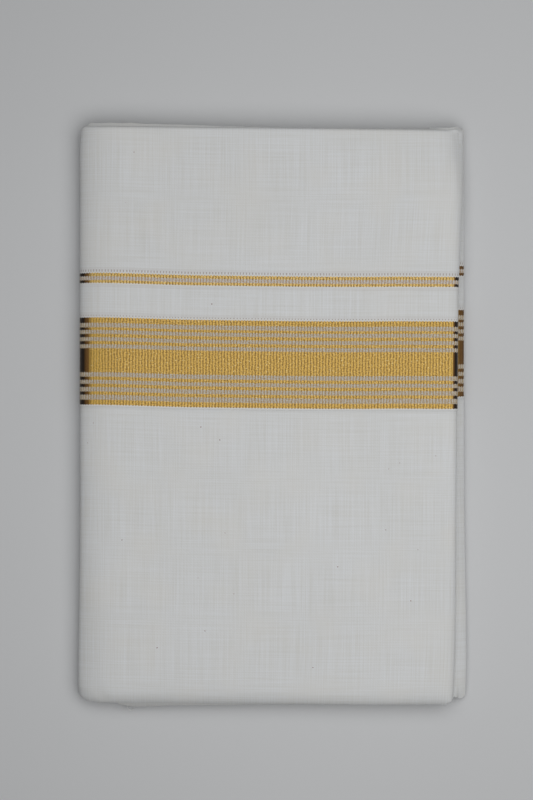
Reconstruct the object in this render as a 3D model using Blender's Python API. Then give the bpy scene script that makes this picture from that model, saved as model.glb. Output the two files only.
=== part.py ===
"""Folded dhoti: one white cotton cloth with a woven gold border, pressed into a flat packet.

The cloth is folded across its width first, into a strip as wide as the packet is tall. The
bordered selvedge is then a flap that hangs from the packet's top edge and ends half way down.
The strip is folded in three, halved and halved again, so each leg of the packet is a stack of
panels, and the stack runs along one path: back leg, left spine, front leg, right nose, under
leg, inner spine, and the upper leg of the lower bundle, where it ends.

Solids: the outer ply that shows all round (border_flap above the selvedge, outer_panel below it),
the same ply where it shows again on the lower bundle's end (lower_end_flap, lower_end_panel), and
folded_layers, the hidden layers as one solid that is ridged at its edges, layer by layer.

Frame: X across the packet, Y up it, Z away from the surface that it lies on. The origin is on
that surface, under the middle of the packet. Blender units are metres.
"""

import math
from typing import Callable, NamedTuple

import bmesh
import bpy
from mathutils import Vector

MM = 0.001


class Roll(NamedTuple):
    """How the face rolls down to an edge: over this width, and by this much at the edge."""

    width: float
    drop: float


# Driving sizes of the packet.
THICKNESS = 13.0 * MM
HALF = THICKNESS / 2
SPINE_LEFT = -83.2 * MM
NOSE_RIGHT = 80.3 * MM
LOWER_RIGHT = 83.0 * MM
SELVEDGE_Y = 3.0 * MM

# Cloth walls. The flap lies on the panel, so it stands LAP proud of it.
WALL = 1.35 * MM
LAP = 0.3 * MM
GAP = 0.3 * MM
INSET = WALL + GAP

# The folds seen from the packet's end: how far each one bulges out of its straight legs. The
# front leg slopes down to the spine, and the back one lies flat until it is near it.
FRONT_BULGE = 20.0 * MM
BACK_BULGE = 9.0 * MM
FRONT_START = SPINE_LEFT + FRONT_BULGE
BACK_START = SPINE_LEFT + BACK_BULGE
NOSE_RADIUS = (HALF - GAP / 2) / 2
NOSE_BULGE = 4.5 * MM
NOSE_X = NOSE_RIGHT - NOSE_BULGE
NOSE_Z = THICKNESS - NOSE_RADIUS
UPPER_END_RIGHT = 82.9 * MM
UPPER_END_BULGE = 5.6 * MM
UPPER_END_X = UPPER_END_RIGHT - UPPER_END_BULGE

# Hidden stretches of the outer ply: it runs this far back between the two bundles.
RETURN_X = 68.0 * MM
RETURN_RAMP = (RETURN_X - 3.8 * MM, RETURN_X - 1.3 * MM)
STACK_EASE = 36.0 * MM
CUT_END_X = 81.6 * MM

# The two bundles are turned a little about the spine, one each way. The sizes here are measured
# from the fold lines, and the middle of the box round all of it lies this far from them.
TURN_X = BACK_START
TOP_SLOPE = -0.0106
LOWER_SLOPE = 0.0216
BOX_CENTRE = (0.15 * MM, -0.36 * MM)

# Layer edges: a ridge for each of the three panels in a leg's hidden stack. Each edge wanders
# along the fold path, up by WANDER and down by WANDER_BELOW, and each layer in its own phase.
RIDGES = 3
RIDGE_DEPTH = 0.7 * MM
RIDGE_SECTION = ((0.18, 0.12 * MM), (0.5, 0.0), (0.82, 0.12 * MM))
WANDER = 0.6 * MM
WANDER_BELOW = 0.48 * MM
WANDER_LENGTH = 135 * MM
WANDER_PHASE = math.radians(137.5)
HEM_ROUND = 0.5 * MM
HEM_SHOULDER = 0.12 * MM

# The lower bundle's right end: the hidden stack stops in a rounded tip at the back, and under
# the upper end's bend at the front.
TIP_LENGTH = 0.8 * MM
TIP_SHOULDER = 0.25 * MM
TIP_LEAST = 0.35
UPPER_TIP_ANGLE = math.radians(50)

# How the packet is pressed: the share of its height that it loses over its lower half and at its
# upper right corner, and where each of them begins and is full.
LOWER_PRESS = 0.03
LOWER_HALF = (14 * MM, -70 * MM)
CORNER_PRESS = 0.04
CORNER_X = (58 * MM, 81 * MM)
CORNER_Y = (106 * MM, 123 * MM)

# How the face rolls down to the packet's edges, and which stretch of its right edge does.
TOP_ROLL = Roll(width=3.0 * MM, drop=0.6 * MM)
BOTTOM_ROLL = Roll(width=7.0 * MM, drop=1.9 * MM)
SHOULDER_ROLL = Roll(width=9.5 * MM, drop=1.3 * MM)
SHOULDER_X = 82.0 * MM
SHOULDER_Y = (50 * MM, 100 * MM)
ROLL_ROUND = 0.84
# The strip along a folded edge that is pressed evenly, so that its ridges stay upright.
EDGE_STRIP = 1.8 * MM

SPINE_STEPS = 14
NOSE_STEPS = 8
UPPER_END_STEPS = 6
LEG_STEPS = 11
ROW_STEPS = 5
# Rows near a folded edge, measured from it, and the rows between them.
EDGE_ROWS = (2.3 * MM, 4.6 * MM)
ROWS_END = (-112 * MM, 110 * MM)
SELVEDGE_ROW = 2 * MM
WELD = 0.001 * MM


class Edge(NamedTuple):
    """Where a panel's folded edges lie, at one place along a leg, in millimetres."""

    x: float
    top: float
    bottom: float


class Reach(NamedTuple):
    """How far a folded side reaches, at one height, in millimetres."""

    y: float
    x: float


TOP_BUNDLE_EDGES = (
    Edge(x=-83.2, top=122.0, bottom=-120.2),
    Edge(x=-82.4, top=123.0, bottom=-121.7),
    Edge(x=-81.2, top=123.7, bottom=-122.3),
    Edge(x=-79.0, top=123.4, bottom=-123.1),
    Edge(x=-74.0, top=123.2, bottom=-123.6),
    Edge(x=-15.0, top=123.2, bottom=-123.4),
    Edge(x=15.0, top=123.2, bottom=-123.2),
    Edge(x=45.0, top=123.2, bottom=-123.15),
    Edge(x=69.5, top=123.2, bottom=-122.75),
    Edge(x=74.0, top=123.2, bottom=-122.8),
    Edge(x=75.5, top=123.4, bottom=-123.3),
    Edge(x=76.7, top=123.7, bottom=-123.3),
    Edge(x=77.9, top=124.1, bottom=-121.7),
    Edge(x=78.5, top=124.2, bottom=-121.5),
    Edge(x=79.3, top=124.1, bottom=-121.6),
    Edge(x=80.3, top=123.4, bottom=-118.8),
)
LOWER_BUNDLE_EDGES = (
    Edge(x=-83.2, top=121.4, bottom=-119.6),
    Edge(x=-79.0, top=122.0, bottom=-121.9),
    Edge(x=-60.0, top=121.6, bottom=-122.9),
    Edge(x=0.0, top=121.1, bottom=-123.8),
    Edge(x=78.0, top=120.4, bottom=-125.0),
    Edge(x=79.5, top=120.2, bottom=-125.35),
    Edge(x=80.5, top=120.0, bottom=-126.0),
    Edge(x=81.2, top=119.8, bottom=-125.95),
    Edge(x=82.0, top=119.7, bottom=-125.5),
    Edge(x=83.0, top=119.5, bottom=-124.4),
)
# How far the second layer of the front leg pokes out past the outer ply.
SECOND_LAYER = (
    Edge(x=-81.0, top=-0.6, bottom=0.6),
    Edge(x=-78.5, top=1.5, bottom=0.3),
    Edge(x=-66.4, top=1.6, bottom=-0.1),
    Edge(x=-65.2, top=1.5, bottom=-1.2),
    Edge(x=-62.5, top=1.55, bottom=-1.45),
    Edge(x=-61.0, top=1.55, bottom=-1.95),
    Edge(x=-56.0, top=1.45, bottom=-2.0),
    Edge(x=-40.0, top=1.15, bottom=-1.15),
    Edge(x=-18.0, top=0.55, bottom=-0.75),
    Edge(x=0.0, top=0.3, bottom=-0.25),
    Edge(x=25.0, top=-0.4, bottom=-0.1),
    Edge(x=60.5, top=-0.5, bottom=0.2),
    Edge(x=62.0, top=0.2, bottom=0.3),
    Edge(x=64.0, top=0.4, bottom=0.3),
    Edge(x=68.0, top=0.35, bottom=0.4),
    Edge(x=71.5, top=1.0, bottom=0.4),
    Edge(x=76.7, top=1.3, bottom=0.6),
    Edge(x=77.6, top=1.2, bottom=0.8),
    Edge(x=78.5, top=0.6, bottom=0.8),
    Edge(x=80.3, top=0.1, bottom=0.8),
)
TOP_BUNDLE_REACH = (
    Reach(y=-122.0, x=77.7),
    Reach(y=-98.0, x=78.7),
    Reach(y=-28.0, x=79.1),
    Reach(y=53.0, x=79.7),
    Reach(y=75.0, x=80.5),
    Reach(y=96.0, x=81.8),
    Reach(y=122.0, x=82.0),
)
LOWER_BUNDLE_REACH = (
    Reach(y=-123.0, x=83.4),
    Reach(y=-116.4, x=83.6),
    Reach(y=-108.4, x=83.8),
    Reach(y=-82.5, x=83.5),
    Reach(y=-61.0, x=83.1),
    Reach(y=-39.5, x=82.8),
    Reach(y=0.0, x=82.7),
    Reach(y=122.0, x=82.7),
)
SPINE_REACH = (
    Reach(y=-121.0, x=-83.35),
    Reach(y=-118.5, x=-83.6),
    Reach(y=-112.0, x=-83.55),
    Reach(y=-96.0, x=-83.36),
    Reach(y=-79.0, x=-83.1),
    Reach(y=-57.0, x=-82.8),
    Reach(y=-36.0, x=-82.72),
    Reach(y=100.0, x=-82.66),
    Reach(y=108.6, x=-82.76),
    Reach(y=117.0, x=-82.6),
    Reach(y=119.7, x=-82.42),
    Reach(y=122.5, x=-82.25),
)


class Station(NamedTuple):
    """One place along the fold path: its two skins, seen from the packet's end.

    front is 1 on the top bundle and 0 on the lower one, and turns from one to the other round
    the spine.
    """

    x_out: float
    z_out: float
    x_in: float
    z_in: float
    front: float


def smoothstep(low: float, high: float, value: float) -> float:
    """0 below low, 1 above high, and a smooth ramp between them."""
    t = min(1.0, max(0.0, (value - low) / (high - low)))
    return t * t * (3 - 2 * t)


def mix(a: float, b: float, t: float) -> float:
    """The value that lies t of the way from a to b."""
    return a + (b - a) * t


def read_table(rows: tuple, key: str, column: str, at: float) -> float:
    """A column of a table, in metres, read between its rows at a place given in metres."""
    place = at / MM
    before = rows[0]
    for row in rows:
        if getattr(row, key) >= place:
            span = getattr(row, key) - getattr(before, key)
            t = (place - getattr(before, key)) / span if span else 0.0
            return mix(getattr(before, column), getattr(row, column), max(0.0, t)) * MM
        before = row
    return getattr(rows[-1], column) * MM


def spread(start: float, end: float, steps: int) -> list[float]:
    """Evenly spaced values from start to end, both included."""
    return [mix(start, end, i / steps) for i in range(steps + 1)]


# Every leg has its sections at the same places, and every section its rows at the same heights,
# so that a wall and what lies under it stay a gap apart.
RIGHT_PLACES = [RETURN_RAMP[1], (RETURN_X + NOSE_X) / 2, NOSE_X]
FRONT_PLACES = spread(FRONT_START, RETURN_RAMP[0], LEG_STEPS) + RIGHT_PLACES
BACK_PLACES = spread(BACK_START, RETURN_RAMP[0], LEG_STEPS) + RIGHT_PLACES
ROWS_BELOW = spread(ROWS_END[0], SELVEDGE_Y - SELVEDGE_ROW, ROW_STEPS)
ROWS_ABOVE = spread(SELVEDGE_Y + SELVEDGE_ROW, ROWS_END[1], ROW_STEPS)


def rows_below(bottom: float) -> list[float]:
    """The rows between a panel's bottom edge and the selvedge."""
    return [bottom + inside for inside in EDGE_ROWS] + ROWS_BELOW


def rows_above(top: float) -> list[float]:
    """The rows between the selvedge and a panel's top edge."""
    return ROWS_ABOVE + [top - inside for inside in reversed(EDGE_ROWS)]


# Depths are measured inwards from a bundle's outer skin.
def stack_floor(x: float) -> float:
    """Depth of the hidden stack's far skin: it leaves room for the ply that runs back there."""
    return HALF - GAP / 2 - INSET * smoothstep(*RETURN_RAMP, x)


def stack_middle(x: float) -> float:
    """Depth half way through the hidden stack, where its two legs meet."""
    covered = smoothstep(RETURN_RAMP[0] - STACK_EASE, RETURN_RAMP[0], x)
    return (INSET + HALF - GAP / 2 - INSET * covered) / 2


def on_back(x: float, depth: float) -> tuple[float, float]:
    return x, depth


def on_front(x: float, depth: float) -> tuple[float, float]:
    return x, THICKNESS - depth


def on_spine(angle: float, depth: float) -> tuple[float, float]:
    """A point round the left fold, from 0 at the back to pi at the front."""
    bulge = BACK_BULGE if angle < math.pi / 2 else FRONT_BULGE
    return (
        SPINE_LEFT + bulge - (bulge - depth) * math.sin(angle),
        HALF - (HALF - depth) * math.cos(angle),
    )


def front_share(angle: float) -> float:
    """How much of the spine at this angle belongs to the front leg."""
    return smoothstep(math.pi / 4, 3 * math.pi / 4, angle)


def on_nose(angle: float, depth: float) -> tuple[float, float]:
    """A point round the top bundle's right fold, from 0 at the front to pi underneath."""
    return (
        NOSE_X + (NOSE_BULGE - depth) * math.sin(angle),
        NOSE_Z + (NOSE_RADIUS - depth) * math.cos(angle),
    )


def on_upper_end(angle: float, depth: float) -> tuple[float, float]:
    """A point round the lower bundle's upper end, from 0 on top to pi / 2 at its right."""
    top = HALF - GAP / 2
    centre = stack_middle(UPPER_END_X) + GAP / 2
    return (
        UPPER_END_X + (UPPER_END_BULGE - depth) * math.sin(angle),
        centre + (top - centre - depth) * math.cos(angle),
    )


def outer_ply(lap: float) -> list[Station]:
    """The ply that shows all round, from its cut end at the back to where it is hidden again.

    lap is how far its outer skin lies below the flap's, which it isn't on the back, because
    both are pressed flat there.
    """
    path = []

    def add(curve: Callable, place: float, front: float, drop: float) -> None:
        path.append(Station(*curve(place, drop), *curve(place, WALL), front))

    add(on_back, CUT_END_X, 0.0, 0.0)
    for x in reversed(BACK_PLACES):
        add(on_back, x, 0.0, 0.0)
    for angle in spread(0, math.pi, SPINE_STEPS)[1:-1]:
        front = front_share(angle)
        add(on_spine, angle, front, lap * front)
    for x in FRONT_PLACES:
        add(on_front, x, 1.0, lap)
    for angle in spread(0, math.pi, NOSE_STEPS)[1:]:
        add(on_nose, angle, 1.0, lap * (1 + math.cos(angle)) / 2)
    under = THICKNESS - 2 * NOSE_RADIUS
    path.append(Station(RETURN_X, under, RETURN_X, under + WALL, 1.0))
    return path


def lower_end_ply(lap: float) -> list[Station]:
    """The same ply where it comes out between the bundles and rounds the lower bundle's end."""
    top = HALF - GAP / 2
    path = [Station(RETURN_X, top - lap, RETURN_X, top - WALL, 0.0)]
    for angle in spread(0, math.pi / 2, UPPER_END_STEPS):
        path.append(Station(*on_upper_end(angle, lap), *on_upper_end(angle, WALL), 0.0))
    return path


def hidden_stack() -> list[Station]:
    """The hidden layers, from the lower bundle's lower end, along the whole path, to its upper."""
    path = []
    left = stack_middle(FRONT_START)
    right = stack_middle(NOSE_X)

    for back_off in (0.0, TIP_SHOULDER, TIP_LENGTH):
        fullness = math.sqrt(1 - (1 - back_off / TIP_LENGTH) ** 2)
        squeeze = (right - GAP / 2 - INSET) / 2 * (1 - max(TIP_LEAST, fullness))
        low = on_back(LOWER_RIGHT - back_off, INSET + squeeze)
        high = on_back(LOWER_RIGHT - back_off, right - GAP / 2 - squeeze)
        path.append(Station(*low, *high, 0.0))
    for x in reversed(BACK_PLACES):
        path.append(Station(*on_back(x, INSET), *on_back(x, stack_middle(x) - GAP / 2), 0.0))
    for angle in spread(0, math.pi, SPINE_STEPS)[1:-1]:
        inner = on_spine(angle, left - GAP / 2)
        path.append(Station(*on_spine(angle, INSET), *inner, front_share(angle)))
    for x in FRONT_PLACES:
        path.append(Station(*on_front(x, INSET), *on_front(x, stack_middle(x) - GAP / 2), 1.0))
    for angle in spread(0, math.pi, NOSE_STEPS)[1:-1]:
        outer = on_nose(angle, INSET)
        path.append(Station(*outer, *on_nose(angle, right - GAP / 2), 1.0))
    for x in reversed(FRONT_PLACES):
        inner = on_front(x, stack_floor(x))
        path.append(Station(*inner, *on_front(x, stack_middle(x) + GAP / 2), 1.0))
    for angle in spread(math.pi, 0, SPINE_STEPS)[1:-1]:
        inner = on_spine(angle, stack_floor(FRONT_START))
        path.append(Station(*inner, *on_spine(angle, left + GAP / 2), front_share(angle)))
    for x in BACK_PLACES:
        inner = on_back(x, stack_floor(x))
        path.append(Station(*inner, *on_back(x, stack_middle(x) + GAP / 2), 0.0))
    floor = on_back(UPPER_END_X, stack_middle(UPPER_END_X) + GAP / 2)
    path.append(Station(UPPER_END_X, stack_floor(UPPER_END_X), *floor, 0.0))
    tip = on_upper_end(UPPER_TIP_ANGLE, INSET)
    path.append(Station(*tip, tip[0], floor[1], 0.0))
    return path


def panel_edges(x: float, front: float) -> tuple[float, float]:
    """The top and bottom of the outer ply at x, mixed from the two bundles' tables."""
    return tuple(
        mix(
            read_table(LOWER_BUNDLE_EDGES, "x", column, x),
            read_table(TOP_BUNDLE_EDGES, "x", column, x),
            front,
        )
        for column in ("top", "bottom")
    )


def rolled(inside: float, roll: Roll) -> float:
    """How far the face has dropped at a place this far inside an edge."""
    t = min(1.0, max(0.0, 1 - inside / roll.width))
    return roll.drop * (1 - math.sqrt(1 - ROLL_ROUND * t * t)) / (1 - math.sqrt(1 - ROLL_ROUND))


def height_kept(x: float, y: float) -> float:
    """The share of its height that the packet keeps at a place, in both bundles alike."""
    turned = max(0.0, x - TURN_X) * TOP_SLOPE
    top = read_table(TOP_BUNDLE_EDGES, "x", "top", x) + turned
    bottom = read_table(TOP_BUNDLE_EDGES, "x", "bottom", x) + turned
    drop = rolled(top - EDGE_STRIP - y, TOP_ROLL) + rolled(y - bottom - EDGE_STRIP, BOTTOM_ROLL)
    drop += rolled(SHOULDER_X - x, SHOULDER_ROLL) * smoothstep(*SHOULDER_Y, y)
    corner = smoothstep(*CORNER_X, x) * smoothstep(*CORNER_Y, y)
    return 1 - LOWER_PRESS * smoothstep(*LOWER_HALF, y) - CORNER_PRESS * corner - drop / THICKNESS


def settle(x: float, y: float, z: float, front: float) -> tuple[float, float, float]:
    """Turns a bundle about the spine, gives each side its real reach, and presses the packet.

    The surface under it stays flat, because every height is only scaled.
    """
    reach = max(0.0, x - TURN_X)
    top_scale = (read_table(TOP_BUNDLE_REACH, "y", "x", y) - TURN_X) / (NOSE_RIGHT - TURN_X)
    low_scale = (read_table(LOWER_BUNDLE_REACH, "y", "x", y) - TURN_X) / (LOWER_RIGHT - TURN_X)
    spine_scale = (read_table(SPINE_REACH, "y", "x", y) - TURN_X) / (SPINE_LEFT - TURN_X)
    along = TURN_X + reach * mix(low_scale, top_scale, front) + min(0.0, x - TURN_X) * spine_scale
    up = y + reach * mix(LOWER_SLOPE, TOP_SLOPE, front)
    return along - BOX_CENTRE[0], up - BOX_CENTRE[1], z * height_kept(along, up)


def ply_ring(station: Station, top: float, bottom: float, heights: list[float]) -> list[tuple]:
    """A section of a ply's wall: up its outer skin, round its top edge, and down its inner one."""
    half_round = ((1.0, HEM_ROUND), (0.8, HEM_SHOULDER), (0.5, 0.0))
    round_off = half_round + tuple((1 - share, drop) for share, drop in half_round[1::-1])
    section = [(1.0, y) for y in heights]
    section += [(share, top - drop) for share, drop in round_off]
    section += [(0.0, y) for y in reversed(heights)]
    section += [(share, bottom + drop) for share, drop in reversed(round_off)]
    return [place(station, share, y) for share, y in section]


def stack_ring(
    station: Station, ends: list[tuple[float, float]], rows: list[float]
) -> list[tuple]:
    """A section of the hidden stack, with a ridge at both ends of each layer.

    ends holds the (top, bottom) of each layer, from the stack's outer skin inwards.
    """
    tops, bottoms = zip(*ends)
    width = 1.0 / RIDGES
    crest = []
    keel = []
    for i, (top, bottom) in enumerate(ends):
        start = 1.0 - i * width
        for share, drop in RIDGE_SECTION:
            crest.append((start - share * width, top - drop))
            keel.append((start - share * width, bottom + drop))
        if i + 1 < RIDGES:
            crest.append((start - width, min(tops[i], tops[i + 1]) - RIDGE_DEPTH))
            keel.append((start - width, max(bottoms[i], bottoms[i + 1]) + RIDGE_DEPTH))
    foot = max(bottoms) + RIDGE_DEPTH
    head = min(tops) - RIDGE_DEPTH
    heights = [foot, *rows, head]
    section = [(1.0, y) for y in heights] + crest
    section += [(0.0, y) for y in reversed(heights)] + keel[::-1]
    return [place(station, share, y) for share, y in section]


def place(station: Station, share: float, y: float) -> tuple[float, float, float]:
    """A point of a section: share is 0 on the inner skin and 1 on the outer one."""
    x = mix(station.x_in, station.x_out, share)
    z = mix(station.z_in, station.z_out, share)
    return settle(x, y, z, station.front)


def sweep(name: str, rings: list[list[tuple]], rows: int, material: bpy.types.Material) -> None:
    """A closed solid through rings of points, one after another along the fold path.

    A ring climbs rows points up its outer skin, crosses, and comes down as many on its inner
    one. Both ends are closed, and each is cut across from skin to skin at every row.
    """
    around, along = len(rings[0]), len(rings) - 1
    bm = bmesh.new()
    bmesh.ops.create_grid(bm, x_segments=around, y_segments=along, size=0.5)
    for vert in bm.verts:
        i = round((vert.co.x + 0.5) * around)
        j = round((vert.co.y + 0.5) * along)
        vert.co = rings[j][i % around]
    bmesh.ops.remove_doubles(bm, verts=bm.verts, dist=WELD)
    rims = [edge for edge in bm.edges if edge.is_boundary]
    rim_verts = {vert for edge in rims for vert in edge.verts}
    bmesh.ops.holes_fill(bm, edges=rims, sides=0)
    crossing = around // 2 - rows
    for ring in (rings[0], rings[-1]):
        for row in range(rows):
            across = (Vector(ring[row]), Vector(ring[2 * rows + crossing - 1 - row]))
            pair = [min(rim_verts, key=lambda vert: (vert.co - end).length) for end in across]
            bmesh.ops.connect_verts(bm, verts=pair)
    bmesh.ops.recalc_face_normals(bm, faces=bm.faces)
    mesh = bpy.data.meshes.new(name)
    bm.to_mesh(mesh)
    bm.free()
    mesh.materials.append(material)
    mesh.shade_smooth()
    mesh.set_sharp_from_angle(angle=math.radians(40))
    bpy.context.scene.collection.objects.link(bpy.data.objects.new(name, mesh))


def cotton(name: str, colour: tuple[float, float, float], roughness: float) -> bpy.types.Material:
    """A plain woven cotton."""
    material = bpy.data.materials.new(name)
    material.use_nodes = True
    shader = material.node_tree.nodes["Principled BSDF"]
    shader.inputs["Base Color"].default_value = (*colour, 1.0)
    shader.inputs["Roughness"].default_value = roughness
    shader.inputs["Metallic"].default_value = 0.0
    return material


def make_plies(name: str, path: Callable, above: bool, material: bpy.types.Material) -> None:
    """One stretch of the outer ply, above the selvedge line or below it."""
    rings = []
    for station in path(0.0 if above else LAP):
        x = (station.x_out + station.x_in) / 2
        top, bottom = panel_edges(x, station.front)
        if above:
            rings.append(ply_ring(station, top, SELVEDGE_Y + GAP / 2, rows_above(top)))
        else:
            rings.append(ply_ring(station, SELVEDGE_Y - GAP / 2, bottom, rows_below(bottom)))
    sweep(name, rings, len(EDGE_ROWS) + len(ROWS_ABOVE if above else ROWS_BELOW), material)


def layer_ends(station: Station, run: float, second_layer: bool) -> list[tuple[float, float]]:
    """The (top, bottom) of each layer of the hidden stack at a station, run along the fold path.

    The layers wander past each other, as hand folding leaves them; the front leg's first one
    pokes out by the table SECOND_LAYER.
    """
    x = (station.x_out + station.x_in) / 2
    top, bottom = panel_edges(x, station.front)
    ends = []
    for layer in range(RIDGES):
        wander = math.sin(2 * math.pi * run / WANDER_LENGTH + layer * WANDER_PHASE)
        up = WANDER * (wander - 1)
        down = WANDER - WANDER_BELOW * wander
        if second_layer and layer == 0:
            up = read_table(SECOND_LAYER, "x", "top", x)
            down = read_table(SECOND_LAYER, "x", "bottom", x)
        ends.append((top + up, bottom + down))
    return ends


def make_layers(name: str, material: bpy.types.Material) -> None:
    """The hidden layers of every leg, in one solid along the fold path."""
    path = hidden_stack()
    rings = []
    run = 0.0
    for before, station in zip([path[0], *path], path):
        run += math.dist(before[:2], station[:2])
        on_front_leg = station.front > 0.5 and station.z_out > station.z_in
        top, bottom = panel_edges((station.x_out + station.x_in) / 2, station.front)
        rows = rows_below(bottom) + rows_above(top)
        rings.append(stack_ring(station, layer_ends(station, run, on_front_leg), rows))
    sweep(name, rings, len(rows) + 2, material)


def clear_scene() -> None:
    """Removes what the scene holds at the start."""
    for obj in list(bpy.data.objects):
        bpy.data.objects.remove(obj, do_unlink=True)


def main() -> None:
    clear_scene()
    bordered = cotton("bordered_cotton", (0.62, 0.50, 0.30), 0.7)
    plain = cotton("plain_cotton", (0.72, 0.73, 0.73), 0.85)
    layered = cotton("layered_cotton", (0.66, 0.67, 0.68), 0.88)
    make_plies("border_flap", outer_ply, True, bordered)
    make_plies("outer_panel", outer_ply, False, plain)
    make_plies("lower_end_flap", lower_end_ply, True, bordered)
    make_plies("lower_end_panel", lower_end_ply, False, plain)
    make_layers("folded_layers", layered)


main()
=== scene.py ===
"""Dresses a folded dhoti: one white cotton cloth with a woven gold border, pressed into a packet.

The cloth was folded across its width into a strip, the bordered selvedge hanging as a flap from
the top edge. The strip was then folded in three, halved and halved again. Its outer ply shows all
round the packet and again at the lower bundle's right end; every ply under it is one strip of
twelve panels, whose widthwise folds are the fine edges along the packet's top and bottom.

Frame: X across the packet, Y up it, Z away from the surface that it lies on. Metres.
"""

import logging
import math
from dataclasses import dataclass
from enum import Enum
from random import Random
from typing import Iterable, NamedTuple, Sequence

import bmesh
import bpy
from mathutils import Matrix, Vector
from mathutils.bvhtree import BVHTree
from numpy import interp


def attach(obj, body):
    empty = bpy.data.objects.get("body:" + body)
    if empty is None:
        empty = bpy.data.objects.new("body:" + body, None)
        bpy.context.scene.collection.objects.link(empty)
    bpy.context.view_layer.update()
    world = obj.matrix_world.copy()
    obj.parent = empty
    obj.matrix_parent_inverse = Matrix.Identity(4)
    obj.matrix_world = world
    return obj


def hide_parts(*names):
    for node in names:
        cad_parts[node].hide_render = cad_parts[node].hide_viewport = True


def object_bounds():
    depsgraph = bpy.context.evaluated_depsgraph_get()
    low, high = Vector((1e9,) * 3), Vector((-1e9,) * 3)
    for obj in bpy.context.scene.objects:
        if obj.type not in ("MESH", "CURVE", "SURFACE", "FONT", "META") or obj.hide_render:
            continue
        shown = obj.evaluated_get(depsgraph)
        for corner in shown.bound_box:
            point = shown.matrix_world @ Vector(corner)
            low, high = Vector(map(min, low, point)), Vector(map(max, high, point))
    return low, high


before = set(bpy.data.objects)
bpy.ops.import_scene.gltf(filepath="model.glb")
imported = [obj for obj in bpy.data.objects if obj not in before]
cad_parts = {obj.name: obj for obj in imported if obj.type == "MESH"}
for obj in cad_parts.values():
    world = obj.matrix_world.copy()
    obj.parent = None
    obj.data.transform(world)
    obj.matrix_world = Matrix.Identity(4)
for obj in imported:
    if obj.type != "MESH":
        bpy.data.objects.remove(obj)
CAD_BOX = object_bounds()

LOG = logging.getLogger("dhoti")
MM = 0.001
BODY = "root"
UV_NAME = "cloth"
TILT_NAME = "fold_tilt"

Span = tuple[float, float]


# ---------------------------------------------------------------- small sums

# How the waves of a wandering edge shift from one seed and one wave to the next, and how they fade.
SEED_PHASE = 2.4
WAVE_PHASE = 1.7
WAVE_FADE = 0.62


def mix(a: float, b: float, t: float) -> float:
    """The value that lies t of the way from a to b."""
    return a + (b - a) * t


def smoothstep(low: float, high: float, value: float) -> float:
    """0 before low, 1 past high, and a smooth ramp between them."""
    t = min(1.0, max(0.0, (value - low) / (high - low)))
    return t * t * (3 - 2 * t)


def spread(start: float, end: float, steps: int) -> list[float]:
    """Evenly spaced values from start to end, both included."""
    return [mix(start, end, i / steps) for i in range(steps + 1)]


def offsets(start: float, steps: Sequence[float]) -> list[float]:
    """The places that lie this far from a start, with the steps in millimetres."""
    return [start + step * MM for step in steps]


def wander(run: float, seed: float, lengths: Sequence[float] = (190.0, 83.0, 37.0, 17.0)) -> float:
    """A smooth wandering value, as hand folding leaves an edge.

    Args:
        run: The place along the edge, in metres.
        seed: Which edge it is; each wanders in its own way.
        lengths: The wavelengths that it is made of, in millimetres, strongest first.

    Returns:
        A value from -1 to 1.
    """
    total = 0.0
    weight = 0.0
    for i, length in enumerate(lengths):
        share = WAVE_FADE**i
        phase = math.tau * run / (length * MM) + SEED_PHASE * seed * (i + 1) + WAVE_PHASE * i
        total += share * math.sin(phase)
        weight += share
    return total / weight


class Table:
    """A short table of named columns in millimetres, read between its rows in metres."""

    def __init__(self, *rows: NamedTuple) -> None:
        """Keeps each column of the rows, in metres."""
        self.columns = {name: [getattr(row, name) * MM for row in rows] for name in rows[0]._fields}

    def read(self, key: str, column: str, at: float) -> float:
        """The value of a column where the key column has the value at."""
        return float(interp(at, self.columns[key], self.columns[column]))


# ---------------------------------------------------------------- measures

# How many of its widths a crease reaches, and how near a roll comes to a quarter circle.
CREASE_REACH = 3.0
ROLL_TURN = 0.84


class Edge(NamedTuple):
    """Where a panel's folded edges lie, at one place along a leg."""

    x: float
    top: float
    bottom: float


class Reach(NamedTuple):
    """How far a folded side reaches, at one height."""

    y: float
    x: float


class Drift(NamedTuple):
    """How far the woven border has drifted up from a straight line, at one place."""

    x: float
    rise: float


class Crease(NamedTuple):
    """A soft dent of the packet's face, from one point to another, in millimetres."""

    start: Span
    end: Span
    width: float
    depth: float

    def dent(self, x: float, y: float) -> float:
        """How deep the crease is at a place.

        Args:
            x: The place's X, in metres.
            y: Its Y.

        Returns:
            The depth, in metres.
        """
        start, place = Vector(self.start) * MM, Vector((x, y))
        along = Vector(self.end) * MM - start
        t = min(1.0, max(0.0, (place - start).dot(along) / along.length_squared))
        away = (place - start - along * t).length / (self.width * MM)
        return self.depth * MM * math.exp(-away * away) if away < CREASE_REACH else 0.0


class Nick(NamedTuple):
    """A small bulge of an edge: its side, middle, half width and height, in millimetres."""

    side: str
    x: float
    width: float
    height: float

    def bulge(self, x: float) -> float:
        """How far it stands out at a place along the edge, both in metres."""
        away = (x - self.x * MM) / (self.width * MM)
        return self.height * MM * math.exp(-away * away)


class Roll(NamedTuple):
    """A face that rolls down at a folded edge: how wide, how high, and how steep past the edge."""

    width: float
    height: float
    steep: float

    def drop(self, inside: float) -> float:
        """How far the face has dropped.

        Args:
            inside: How far inside the edge the place is; past the edge it is below 0.

        Returns:
            The drop, in metres.
        """
        t = min(1.0, max(0.0, 1 - inside / self.width))
        return self.height * (1 - math.sqrt(1 - ROLL_TURN * t * t)) + self.steep * max(0.0, -inside)


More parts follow.
